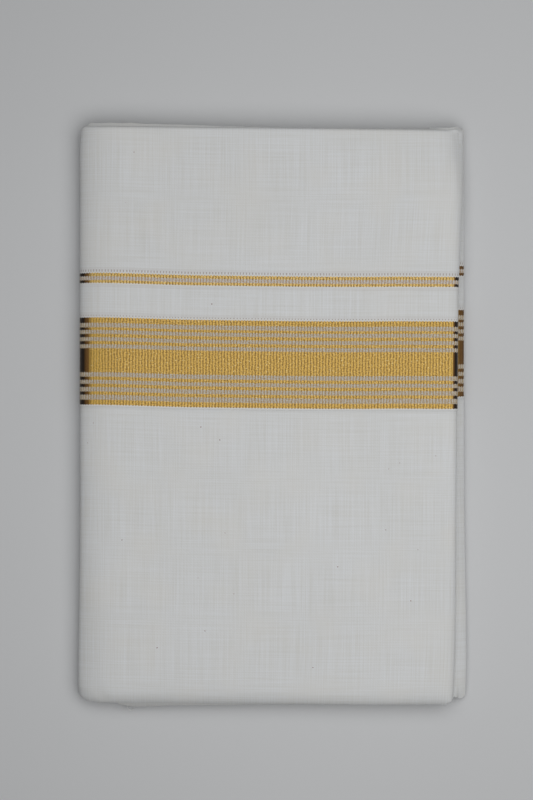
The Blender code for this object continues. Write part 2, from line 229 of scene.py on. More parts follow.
# The two bundles' folded edges.
TOP_BUNDLE = Table(
    Edge(-83.2, 122.0, -120.2),
    Edge(-82.4, 123.0, -121.7),
    Edge(-81.2, 123.7, -122.3),
    Edge(-79.0, 123.4, -123.1),
    Edge(-74.0, 123.2, -123.6),
    Edge(-15.0, 123.2, -123.4),
    Edge(15.0, 123.2, -123.2),
    Edge(45.0, 123.2, -123.15),
    Edge(69.5, 123.2, -122.75),
    Edge(74.0, 123.2, -122.8),
    Edge(75.5, 123.4, -123.3),
    Edge(76.7, 123.7, -123.3),
    Edge(77.9, 124.1, -121.7),
    Edge(78.5, 124.2, -121.5),
    Edge(79.3, 124.1, -121.6),
    Edge(80.3, 123.4, -118.8),
)
LOWER_BUNDLE = Table(
    Edge(-83.2, 121.4, -119.6),
    Edge(-79.0, 122.0, -121.9),
    Edge(-60.0, 121.6, -122.9),
    Edge(0.0, 121.1, -123.8),
    Edge(78.0, 120.4, -125.0),
    Edge(79.5, 120.2, -125.35),
    Edge(80.5, 120.0, -126.0),
    Edge(81.2, 119.8, -125.95),
    Edge(82.0, 119.7, -125.5),
    Edge(83.0, 119.5, -124.4),
)
# How far the second layer of the front leg pokes out past the outer ply.
SECOND_LAYER = Table(
    Edge(-81.0, -0.6, 0.6),
    Edge(-78.5, 1.5, 0.3),
    Edge(-66.4, 1.6, -0.1),
    Edge(-65.2, 1.5, -1.2),
    Edge(-62.5, 1.55, -1.45),
    Edge(-61.0, 1.55, -1.95),
    Edge(-56.0, 1.45, -2.0),
    Edge(-40.0, 1.15, -1.15),
    Edge(-18.0, 0.55, -0.75),
    Edge(0.0, 0.3, -0.25),
    Edge(25.0, -0.4, -0.1),
    Edge(60.5, -0.5, 0.2),
    Edge(62.0, 0.2, 0.3),
    Edge(64.0, 0.4, 0.3),
    Edge(68.0, 0.35, 0.4),
    Edge(71.5, 1.0, 0.4),
    Edge(76.7, 1.3, 0.6),
    Edge(77.6, 1.2, 0.8),
    Edge(78.5, 0.6, 0.8),
    Edge(80.3, 0.1, 0.8),
)
# How far the top bundle, the lower one and the spine reach.
TOP_REACH = Table(
    Reach(-122.0, 77.7),
    Reach(-98.0, 78.7),
    Reach(-28.0, 79.1),
    Reach(53.0, 79.7),
    Reach(75.0, 80.5),
    Reach(96.0, 81.8),
    Reach(122.0, 82.0),
)
LOWER_REACH = Table(
    Reach(-123.0, 83.4),
    Reach(-116.4, 83.6),
    Reach(-108.4, 83.8),
    Reach(-82.5, 83.5),
    Reach(-61.0, 83.1),
    Reach(-39.5, 82.8),
    Reach(0.0, 82.7),
    Reach(122.0, 82.7),
)
SPINE_REACH = Table(
    Reach(-121.0, -83.35),
    Reach(-118.5, -83.6),
    Reach(-112.0, -83.55),
    Reach(-96.0, -83.36),
    Reach(-79.0, -83.1),
    Reach(-57.0, -82.8),
    Reach(-36.0, -82.72),
    Reach(100.0, -82.66),
    Reach(108.6, -82.76),
    Reach(117.0, -82.6),
    Reach(119.7, -82.42),
    Reach(122.5, -82.25),
)
BORDER_DRIFT = Table(
    Drift(-83.2, 0.36),
    Drift(-75.2, 0.38),
    Drift(-69.2, 0.32),
    Drift(-60.7, 0.21),
    Drift(-47.9, -0.08),
    Drift(-35.1, -0.30),
    Drift(-9.5, -0.38),
    Drift(16.1, -0.40),
    Drift(28.9, -0.33),
    Drift(41.7, -0.20),
    Drift(54.5, 0.04),
    Drift(67.3, 0.10),
    Drift(80.3, 0.17),
)
CREASES = (
    Crease((74.4, 121.6), (72.6, 118.6), 1.0, 0.35),
    Crease((76.4, 121.6), (79.3, 120.3), 1.0, 0.45),
    Crease((79.3, 120.3), (80.8, 121.3), 0.8, 0.3),
    Crease((80.2, 121.5), (81.0, 113.0), 4.4, 1.4),
    Crease((80.7, 118.0), (81.2, 102.0), 3.0, 0.9),
    Crease((-75.8, -116.7), (-70.8, -122.2), 1.4, 0.25),
    Crease((70.2, -111.7), (75.2, -120.7), 1.6, 0.2),
    Crease((-83.5, -80.0), (-83.5, -121.0), 7.0, 0.75),
    Crease((79.0, -78.0), (79.0, -118.0), 5.0, 0.5),
)
SECOND_LAYER_NICKS = (
    Nick("top", -77.6, 1.0, 0.15),
    Nick("top", -69.0, 1.6, 0.25),
    Nick("top", -60.4, 2.2, 0.28),
    Nick("bottom", -74.4, 1.0, 0.95),
)


class Leg(Enum):
    """The stretches of the fold path, in order, from the back's cut end to the upper end."""

    BACK = "back"
    SPINE = "spine"
    FRONT = "front"
    NOSE = "nose"
    UNDER = "under"
    INNER_SPINE = "inner spine"
    UPPER = "upper"


OUTER_LEGS = (Leg.BACK, Leg.SPINE, Leg.FRONT, Leg.NOSE)
ROUND_STEPS = {Leg.SPINE: 40, Leg.NOSE: 22, Leg.INNER_SPINE: 28}


class Stop(NamedTuple):
    """A leg and a place on it: an X on a straight leg, or an angle round a fold."""

    leg: Leg
    place: float


class Station(NamedTuple):
    """One place along a ply, seen from the packet's end.

    It has a point (X, Z) on each of the ply's two skins. front is 1 on the top bundle and 0 on
    the lower one, run is the cloth's length up to here, and tilt is 0 where the cloth lies flat
    and 1 where it stands.
    """

    leg: Leg
    outer: Span
    inner: Span
    front: float
    run: float = 0.0
    tilt: float = 0.0

    def middle_x(self) -> float:
        """The X half way between the two skins."""
        return (self.outer[0] + self.inner[0]) / 2


@dataclass(frozen=True)
class PacketFold:
    """The packet's fold path and how the packet has settled.

    Attributes:
        thickness: The packet's height off the surface.
        ply_room: The room that the outer ply takes under the packet's skin.
        slit: The slit between the two bundles.
        between: Half the slit between two neighbouring layers.
        selvedge: The height of the bordered selvedge, up the face.
        lower_rise: How much higher it lies on the lower bundle.
        front_bulge: How far inside that end the front leg begins to slope down to it.
        back_bulge: How far inside it the back leg begins.
        nose_bulge: How far inside that end the nose begins.
        upper_end_right: The right end of the lower bundle's top.
        upper_end_bulge: How far inside that end the top begins to round off.
        return_x: How far the outer ply runs back in between the bundles.
        cut_end: Where the cloth's cut end lies at the back.
        top_slope: How far the top bundle is turned, as a slope; lower_slope is the lower one's.
        box_centre: The middle of the settled packet.
        under_ramp: How far before return_x the outer ply starts and ends to take up its room.
        middle_ramp: The same for the place where the two legs meet.
        lower_half: The heights between which the packet gets flatter towards its lower half.
        lower_press: How much flatter it is there.
        corner_x: The same for its upper right corner, across it.
        corner_y: The same up it.
        corner_press: How much flatter the corner is.
        shoulder_roll: How the face rolls down towards the nose.
        shoulder_x: Where that roll ends.
        shoulder_y: The heights between which it starts.
        top_roll: How the face rolls down at its top edge.
        bottom_roll: The same at its bottom edge.
        bottom_droop: A wider roll of the bottom edge.
        droop_x: Where across the packet that one starts, from the right.
        ripple: The height of the face's ripples, as a share of its height off the surface.
        ripple_skew: How far the two trains of ripples lean.
        ripple_lengths: Their wavelengths, in millimetres.
    """

    thickness: float
    ply_room: float = 0.54 * MM
    slit: float = 0.16 * MM
    between: float = 0.03 * MM
    selvedge: float = 3.0 * MM
    lower_rise: float = 0.45 * MM
    spine_left: float = -83.2 * MM
    front_bulge: float = 20.0 * MM
    back_bulge: float = 9.0 * MM
    nose_right: float = 80.3 * MM
    nose_bulge: float = 4.5 * MM
    upper_end_right: float = 82.9 * MM
    upper_end_bulge: float = 5.6 * MM
    lower_right: float = 83.0 * MM
    return_x: float = 68.0 * MM
    cut_end: float = 81.6 * MM
    top_slope: float = -0.0106
    lower_slope: float = 0.0216
    box_centre: Span = (0.15 * MM, -0.36 * MM)
    under_ramp: Span = (3.8 * MM, 1.3 * MM)
    middle_ramp: Span = (40 * MM, 4 * MM)
    lower_half: Span = (14 * MM, -70 * MM)
    lower_press: float = 0.03
    corner_x: Span = (58 * MM, 81 * MM)
    corner_y: Span = (106 * MM, 123 * MM)
    corner_press: float = 0.1
    shoulder_roll: Roll = Roll(9.5 * MM, 4.8 * MM, 0.55)
    shoulder_x: float = 81.6 * MM
    shoulder_y: Span = (50 * MM, 100 * MM)
    top_roll: Roll = Roll(1.4 * MM, 1.6 * MM, 0.75)
    bottom_roll: Roll = Roll(7.0 * MM, 5.6 * MM, 1.35)
    bottom_droop: Roll = Roll(24.0 * MM, 1.9 * MM, 0.0)
    droop_x: Span = (45 * MM, -20 * MM)
    ripple: float = 0.008
    ripple_skew: Span = (0.6, -0.3)
    ripple_lengths: tuple[Span, Span] = ((118.0, 61.0), (97.0, 53.0))

    @property
    def half(self) -> float:
        """The height of the middle plane between the two bundles."""
        return self.thickness / 2

    @property
    def bundle_depth(self) -> float:
        """The depth of a bundle's inner side, under its outer skin."""
        return self.half - self.slit / 2

    @property
    def front_start(self) -> float:
        """Where the front leg begins to slope down to the spine."""
        return self.spine_left + self.front_bulge

    @property
    def turn_x(self) -> float:
        """Where the back leg begins, about which both bundles are turned."""
        return self.spine_left + self.back_bulge

    @property
    def nose_x(self) -> float:
        """Where the front leg begins to round into the nose."""
        return self.nose_right - self.nose_bulge

    @property
    def upper_end_x(self) -> float:
        """Where the lower bundle's top begins to round off."""
        return self.upper_end_right - self.upper_end_bulge

    @property
    def nose_radius(self) -> float:
        """Half the top bundle's height."""
        return self.bundle_depth / 2

    def returned(self, x: float, ramp: Span) -> float:
        """The room that the outer ply takes between the bundles, by a ramp before return_x."""
        start, end = (self.return_x - before for before in ramp)
        return self.ply_room * smoothstep(start, end, x)

    def floor_depth(self, x: float) -> float:
        """Depth of the hidden layers' far skin, under a bundle's outer skin."""
        return self.bundle_depth - self.returned(x, self.under_ramp)

    def middle_depth(self, x: float) -> float:
        """Depth half way through the hidden layers, where the two legs meet."""
        return (self.ply_room + self.bundle_depth - self.returned(x, self.middle_ramp)) / 2

    def hidden_depth(self, stop: Stop, share: float) -> float:
        """Depth of a place in the hidden layers.

        Args:
            stop: Where it is along the fold path.
            share: How deep it is: 0 at the skin and 1 at the middle.

        Returns:
            The depth under the leg's outer skin.
        """
        folds = {Leg.SPINE: self.front_start, Leg.INNER_SPINE: self.front_start, Leg.NOSE: self.nose_x}
        x = folds.get(stop.leg, stop.place)
        if stop.leg in OUTER_LEGS:
            return mix(self.ply_room, self.middle_depth(x) - self.between, share)
        return mix(self.floor_depth(x), self.middle_depth(x) + self.between, share)

    def cross(self, stop: Stop, depth: float) -> Span:
        """A place of the fold path, seen from the packet's end.

        Args:
            stop: Where it is along the path.
            depth: How deep it lies under the leg's outer skin.

        Returns:
            Its X and Z, before the packet has settled.
        """
        if stop.leg in (Leg.BACK, Leg.UPPER):
            return stop.place, depth
        if stop.leg in (Leg.FRONT, Leg.UNDER):
            return stop.place, self.thickness - depth
        across, up = math.sin(stop.place), math.cos(stop.place)
        if stop.leg is Leg.NOSE:
            radius = self.nose_radius
            x = self.nose_x + (self.nose_bulge - depth) * across
            return x, self.thickness - radius + (radius - depth) * up
        bulge = self.back_bulge if stop.place < math.pi / 2 else self.front_bulge
        x = self.spine_left + bulge - (bulge - depth) * across
        return x, self.half - (self.half - depth) * up

    def front_share(self, stop: Stop) -> float:
        """How much of a stop belongs to the top bundle.

        Args:
            stop: The stop.

        Returns:
            The share, from 0 to 1.
        """
        if stop.leg in (Leg.SPINE, Leg.INNER_SPINE):
            return smoothstep(math.pi / 4, 3 * math.pi / 4, stop.place)
        return 1.0 if stop.leg in (Leg.FRONT, Leg.NOSE, Leg.UNDER) else 0.0

    def leg_stops(self, leg: Leg, step: float = 0.0, right: float = 0.0) -> list[Stop]:
        """The stops of one leg, in the path's direction.

        Args:
            leg: Which leg.
            step: About how far apart its stops are, on a straight leg.
            right: Where a leg of the lower bundle ends at its right.

        Returns:
            The stops, without the ends of a round fold.
        """
        straight = {
            Leg.BACK: (right, self.turn_x),
            Leg.FRONT: (self.front_start, self.nose_x),
            Leg.UNDER: (self.nose_x, self.front_start),
            Leg.UPPER: (self.turn_x, right),
        }
        if leg in straight:
            start, end = straight[leg]
            places = spread(start, end, max(2, round(abs(end - start) / step)))
        else:
            start, end = (math.pi, 0) if leg is Leg.INNER_SPINE else (0, math.pi)
            places = spread(start, end, ROUND_STEPS[leg])[1:-1]
        return [Stop(leg, place) for place in places]

    def press(self, x: float, y: float) -> float:
        """How much of its height the settled packet keeps at a place.

        It is pressed flatter towards its lower half and its upper right corner, its folded edges
        roll down, and its face has ripples and a few creases.

        Args:
            x: The settled place's X.
            y: Its Y.

        Returns:
            The share of the height.
        """
        along = x + self.box_centre[0]
        turned = max(0.0, along - self.turn_x) * self.top_slope - self.box_centre[1]
        top = TOP_BUNDLE.read("x", "top", along) + turned
        bottom = TOP_BUNDLE.read("x", "bottom", along) + turned
        drop = self.shoulder_roll.drop(self.shoulder_x - x) * smoothstep(*self.shoulder_y, y)
        drop += self.top_roll.drop(top - y) + self.bottom_roll.drop(y - bottom)
        drop += self.bottom_droop.drop(y - bottom) * smoothstep(*self.droop_x, x)
        drop += sum(crease.dent(x, y) for crease in CREASES)
        leans, lengths = self.ripple_skew, self.ripple_lengths
        ripples = wander(x + leans[0] * y, 1.0, lengths[0]) * wander(y + leans[1] * x, 2.0, lengths[1])
        kept = 1 + self.ripple * ripples - self.lower_press * smoothstep(*self.lower_half, y)
        kept -= self.corner_press * smoothstep(*self.corner_x, x) * smoothstep(*self.corner_y, y)
        return kept - drop / self.thickness

    def settle(self, x: float, y: float, z: float, front: float) -> Vector:
        """The place where a point of the folded cloth has come to lie.

        Each bundle is turned a little about the spine and has its own right edge. Heights are
        only scaled, so the packet's underside stays flat on the surface.

        Args:
            x: The point's X.
            y: Its Y.
            z: Its Z.
            front: How much of it belongs to the top bundle.

        Returns:
            The place.
        """
        reach = max(0.0, x - self.turn_x)
        top = (TOP_REACH.read("y", "x", y) - self.turn_x) / (self.nose_right - self.turn_x)
        low = (LOWER_REACH.read("y", "x", y) - self.turn_x) / (self.lower_right - self.turn_x)
        left = (SPINE_REACH.read("y", "x", y) - self.turn_x) / (self.spine_left - self.turn_x)
        bulge = max(0.0, self.turn_x - x) * (1 - left)
        place_x = x + bulge + reach * (mix(low, top, front) - 1) - self.box_centre[0]
        place_y = y + reach * mix(self.lower_slope, self.top_slope, front) - self.box_centre[1]
        return Vector((place_x, place_y, z * self.press(place_x, place_y)))

    def point(self, station: Station, share: float, y: float) -> Vector:
        """A settled point of a ply.

        Args:
            station: The place along the ply.
            share: How far through it the point is: 0 on its outer skin and 1 on its inner one.
            y: The point's Y, before the packet has settled.

        Returns:
            The point.
        """
        x = mix(station.outer[0], station.inner[0], share)
        z = mix(station.outer[1], station.inner[1], share)
        return self.settle(x, y, z, station.front)

    def hem(self, station: Station) -> float:
        """The height of the bordered selvedge at a station."""
        rise = mix(self.lower_rise, BORDER_DRIFT.read("x", "rise", station.middle_x()), station.front)
        return self.selvedge + rise

    def edges(self, station: Station) -> Span:
        """Where a panel ends.

        Args:
            station: The place along it.

        Returns:
            The height of its top and of its bottom.
        """
        x = station.middle_x()
        return tuple(
            mix(LOWER_BUNDLE.read("x", side, x), TOP_BUNDLE.read("x", side, x), station.front)
            for side in ("top", "bottom")
        )


def measured(stations: Sequence[Station]) -> list[Station]:
    """Measures a ply along its outer skin.

    Args:
        stations: The places along it, in order.

    Returns:
        The same stations, each with the cloth's length up to there and its tilt.
    """
    skin = [station.outer for station in stations]
    done = []
    run = 0.0
    for i, station in enumerate(stations):
        before, after = skin[max(0, i - 1)], skin[min(len(skin) - 1, i + 1)]
        run += math.dist(before, station.outer) if i else 0.0
        length = math.dist(before, after) or 1.0
        done.append(station._replace(run=run, tilt=abs(after[1] - before[1]) / length))
    return done


# ---------------------------------------------------------------- meshes

SHARP_EDGE = math.radians(55)
MERGE = 0.0005 * MM

# A closed section of a cloth piece: (share through the ply, height) for each of its points.
Ring = list[Span]


def finish_mesh(name: str, bm: bmesh.types.BMesh) -> bpy.types.Object:
    """Makes a smooth-shaded object.

    Args:
        name: Its name.
        bm: Its shape, which is freed.

    Returns:
        The object, at the origin.
    """
    bmesh.ops.recalc_face_normals(bm, faces=bm.faces)
    mesh = bpy.data.meshes.new(name)
    bm.to_mesh(mesh)
    bm.free()
    mesh.shade_smooth()
    obj = bpy.data.objects.new(name, mesh)
    bpy.context.scene.collection.objects.link(obj)
    return obj


def sweep_cloth(
    name: str, fold: PacketFold, stations: Sequence[Station], rings: Sequence[Ring]
) -> bpy.types.Object:
    """A closed cloth piece through one ring of points at each station.

    The cloth's own measure goes into its UV map, in metres: U along the cloth's length and V
    above its selvedge.

    Args:
        name: The piece's name.
        fold: The packet's fold, which places the points.
        stations: The places along the ply.
        rings: The section at each of them, all with the same number of points.

    Returns:
        The finished object, at the origin.
    """
    around, along, half = len(rings[0]), len(rings) - 1, 0.5
    bm = bmesh.new()
    bmesh.ops.create_grid(bm, x_segments=around, y_segments=along, size=half)
    uv = bm.loops.layers.uv.new(UV_NAME)
    tilt = bm.verts.layers.float.new(TILT_NAME)
    spots = {}
    for vert in bm.verts:
        i = round((vert.co.x + half) * around)
        j = round((vert.co.y + half) * along)
        share, y = rings[j][i % around]
        spots[vert] = (stations[j].run, y - fold.hem(stations[j]))
        vert.co = fold.point(stations[j], share, y)
        vert[tilt] = stations[j].tilt
    for face in bm.faces:
        for loop in face.loops:
            loop[uv].uv = spots[loop.vert]
    bmesh.ops.remove_doubles(bm, verts=bm.verts, dist=MERGE)
    bmesh.ops.holes_fill(bm, edges=[edge for edge in bm.edges if edge.is_boundary], sides=0)
    obj = finish_mesh(name, bm)
    obj.data.set_sharp_from_angle(angle=SHARP_EDGE)
    return obj


# ---------------------------------------------------------------- the cloth's plies

CAP_SHARES = (0.05, 0.2, 0.5, 0.8, 0.95)


def cap_drop(share: float) -> float:
    """How far a rounded fold falls below its crest, in radii, across the fold from 0 to 1."""
    return 1 - math.sqrt(max(0.0, 1 - (2 * share - 1) ** 2))


@dataclass(frozen=True)
class OuterPly:
    """The ply that shows all round: the bordered flap, and the panel that it hangs over.

    Its points are as close as its bends need. Fields that end in foot, head or crest are the
    heights of single points, and those that end in waves are wavelengths, in millimetres. Those
    that end in steps count the steps of a stretch.

    Attributes:
        fold: The packet's fold.
        ply: The height of a turned edge, which is two plies.
        lap: How far the panel's skin lies under the flap's, as a share of ply.
        lap_gap: How far the panel's tuck lies under the flap, as a share of ply.
        tuck: How far the panel runs up under the flap.
        selvedge_share: How thick the flap's own selvedge is, as a share of lap.
        edge_radius: The roundness of a turned edge.
        edge_waver: How far such an edge wavers.
        end_shape: How the lower bundle's upper end falls away: 1 is a chamfer, 2 is rounder.
        end_tilt_share: How much of its tilt sets the gilt's painted fold shade and glint there, where the
            upper bundle shields it.
        back_step: How far apart the points are along the back leg; front_step is the front leg's.
        return_step: How far the ply runs in past the nose before its first point there.
        flap_foot: Points above the flap's selvedge.
        flap_field: Where its flat field starts above the selvedge, and where it ends.
        flap_head: Points above that field.
        flap_crest: Points under the flap's top edge.
        panel_foot: Points above the panel's bottom edge.
        panel_field: Where its flat field starts, and how far under the selvedge it ends.
        inner: How far inside a turned edge the first point of the inner skin is.
        flap_middle: A point half way up the flap's inner skin.
        thinning: How far above the selvedge that skin starts and ends to thin.
        panel_back: Points up the panel's inner skin.
        dip_start: How far under the selvedge the panel starts to dip beneath it.
        dip_point: How far under it the panel has dipped by dip_share.
        dip_end: How far above it the panel has dipped fully.
    """

    fold: PacketFold
    ply: float = 0.5 * MM
    lap: float = 0.6
    lap_gap: float = 0.06
    tuck: float = 9.0 * MM
    selvedge_share: float = 0.9
    edge_radius: float = 0.2 * MM
    edge_waver: float = 0.07 * MM
    flap_waves: tuple[float, ...] = (23.0, 9.0, 4.1)
    panel_waves: tuple[float, ...] = (21.0, 8.0, 3.7)
    end_shape: float = 1.8
    end_tilt_share: float = 0.68
    back_step: float = 3 * MM
    front_step: float = 1.6 * MM
    return_step: float = 3 * MM
    slide_steps: int = 6
    end_steps: int = 18
    flap_foot: tuple[float, ...] = (0.12, 0.6, 1.5, 4.0, 8.0)
    flap_field: Span = (14 * MM, 112 * MM)
    flap_steps: int = 16
    flap_head: tuple[float, ...] = (117.0, 119.0)
    flap_crest: tuple[float, ...] = (-2.2, -1.4, -0.9, -0.45)
    panel_foot: tuple[float, ...] = (0.45, 1.0, 1.8, 3.0, 4.5, 6.5)
    panel_field: Span = (-113 * MM, 6 * MM)
    panel_steps: int = 18
    inner: float = 0.8 * MM
    flap_middle: float = 60 * MM
    thinning: Span = (18 * MM, 10 * MM)
    panel_back: Span = (-60 * MM, -112 * MM)
    dip_start: float = 1.2 * MM
    dip_point: float = 0.1 * MM
    dip_share: float = 0.6
    dip_end: float = 0.8 * MM

    def station(self, stop: Stop) -> Station:
        """The ply's two skins at a stop of the fold path."""
        skins = (self.fold.cross(stop, depth) for depth in (0.0, self.ply))
        return Station(stop.leg, *skins, self.fold.front_share(stop))

    def around_packet(self) -> list[Station]:
        """The stations from the cut end at the back, round spine, front and nose, and in again."""
        fold = self.fold
        stops = fold.leg_stops(Leg.BACK, self.back_step, fold.cut_end) + fold.leg_stops(Leg.SPINE)
        stops += fold.leg_stops(Leg.FRONT, self.front_step) + fold.leg_stops(Leg.NOSE)
        stations = [self.station(stop) for stop in stops]
        deep = fold.bundle_depth
        for x in (fold.nose_x, fold.nose_x - self.return_step, fold.return_x):
            skins = (fold.cross(Stop(Leg.UNDER, x), depth) for depth in (deep, deep - self.ply))
            stations.append(Station(Leg.UNDER, *skins, 1.0))
        return measured(stations)

    def round_lower_end(self) -> list[Station]:
        """The stations from between the bundles, over the lower one's upper end and down its side."""
        fold, top = self.fold, self.fold.bundle_depth
        foot = fold.middle_depth(fold.upper_end_x) + fold.between
        stations = [
            Station(Leg.UPPER, (x, top), (x, top - self.ply), 0.0)
            for x in spread(fold.return_x, fold.upper_end_x, self.slide_steps)[:-1]
        ]
        for angle in spread(0, math.pi / 2, self.end_steps):
            out = math.sin(angle)
            high = 1 - out**self.end_shape
            skins = (
                (fold.upper_end_x + (fold.upper_end_bulge - depth) * out, foot + (top - foot - depth) * high)
                for depth in (0.0, self.ply)
            )
            stations.append(Station(Leg.UPPER, *skins, 0.0))
        # The lower end keeps less of its tilt, so its gilt takes less painted fold shade and glint.
        return [station._replace(tilt=station.tilt * self.end_tilt_share) for station in measured(stations)]

    def flap_ring(self, station: Station, seed: float) -> Ring:
        """The flap's section: up its skin, round the turned top edge, and down inside.

        Args:
            station: The place along the ply.
            seed: Which flap it is, for the waver of its edge.

        Returns:
            The section.
        """
        top = self.fold.edges(station)[0] + self.edge_waver * wander(station.run, seed, self.flap_waves)
        hem = self.fold.hem(station)
        start, end = self.flap_field
        skin = offsets(hem, self.flap_foot) + spread(hem + start, end, self.flap_steps)
        skin += offsets(0.0, self.flap_head) + offsets(top, self.flap_crest)
        fine = self.lap * self.selvedge_share
        points = [(0.0, y) for y in skin]
        points += [(share, top - self.edge_radius * cap_drop(share)) for share in CAP_SHARES]
        thick, thin = self.thinning
        points += [(1.0, y) for y in (top - self.inner, end, self.flap_middle, hem + thick)]
        points += [(fine, hem + thin), (fine, hem + self.flap_foot[0] * MM), (fine / 2, hem)]
        return points

    def panel_ring(self, station: Station, seed: float) -> Ring:
        """The panel's section: round the turned bottom edge, up its skin and under the flap.

        Args:
            station: The place along the ply.
            seed: Which panel it is, for the waver of its edge.

        Returns:
            The section.
        """
        bottom = self.fold.edges(station)[1] + self.edge_waver * wander(station.run, seed, self.panel_waves)
        hem = self.fold.hem(station)
        lap, under = self.lap * station.front, self.lap + self.lap_gap
        start, below = self.panel_field
        skin = offsets(bottom, self.panel_foot) + spread(start, hem - below, self.panel_steps)
        turned = [(share, bottom + self.edge_radius * cap_drop(share)) for share in reversed(CAP_SHARES)]
        points = [(mix(lap, 1.0, share), y) for share, y in turned]
        points += [(lap, y) for y in skin]
        points += [(lap, hem - self.dip_start), (mix(lap, self.lap, self.dip_share), hem - self.dip_point)]
        points += [(under, hem + self.dip_end), (under, hem + self.tuck)]
        points += [(1.0, y) for y in (hem + self.tuck, hem, *self.panel_back, bottom + self.inner)]
        return points

    def build(self) -> dict[str, bpy.types.Object]:
        """Makes the four stretches of the ply that show.

        Returns:
            The pieces, by the CAD nodes that they stand for.
        """
        around = self.around_packet()
        end = self.round_lower_end()
        makers = {
            "border_flap": (around, self.flap_ring, 3.0),
            "outer_panel": (around, self.panel_ring, 4.0),
            "lower_end_flap": (end, self.flap_ring, 5.0),
            "lower_end_panel": (end, self.panel_ring, 6.0),
        }
        return {
            node: sweep_cloth(f"{node}_cloth", self.fold, path, [ring(station, seed) for station in path])
            for node, (path, ring, seed) in makers.items()
        }


# How the strip's edges are told apart, so that each wanders in its own way.
LAYER_SEED = 7.0
ORDER_SEED = 1.3
BOTTOM_SEED = 40.0
TOP_SEED = 60.0
FOOT_SEED = 80.0
VALLEY_SEED = 9
# How much of a slit's depth changes along it.
VALLEY_WANDER = 0.3


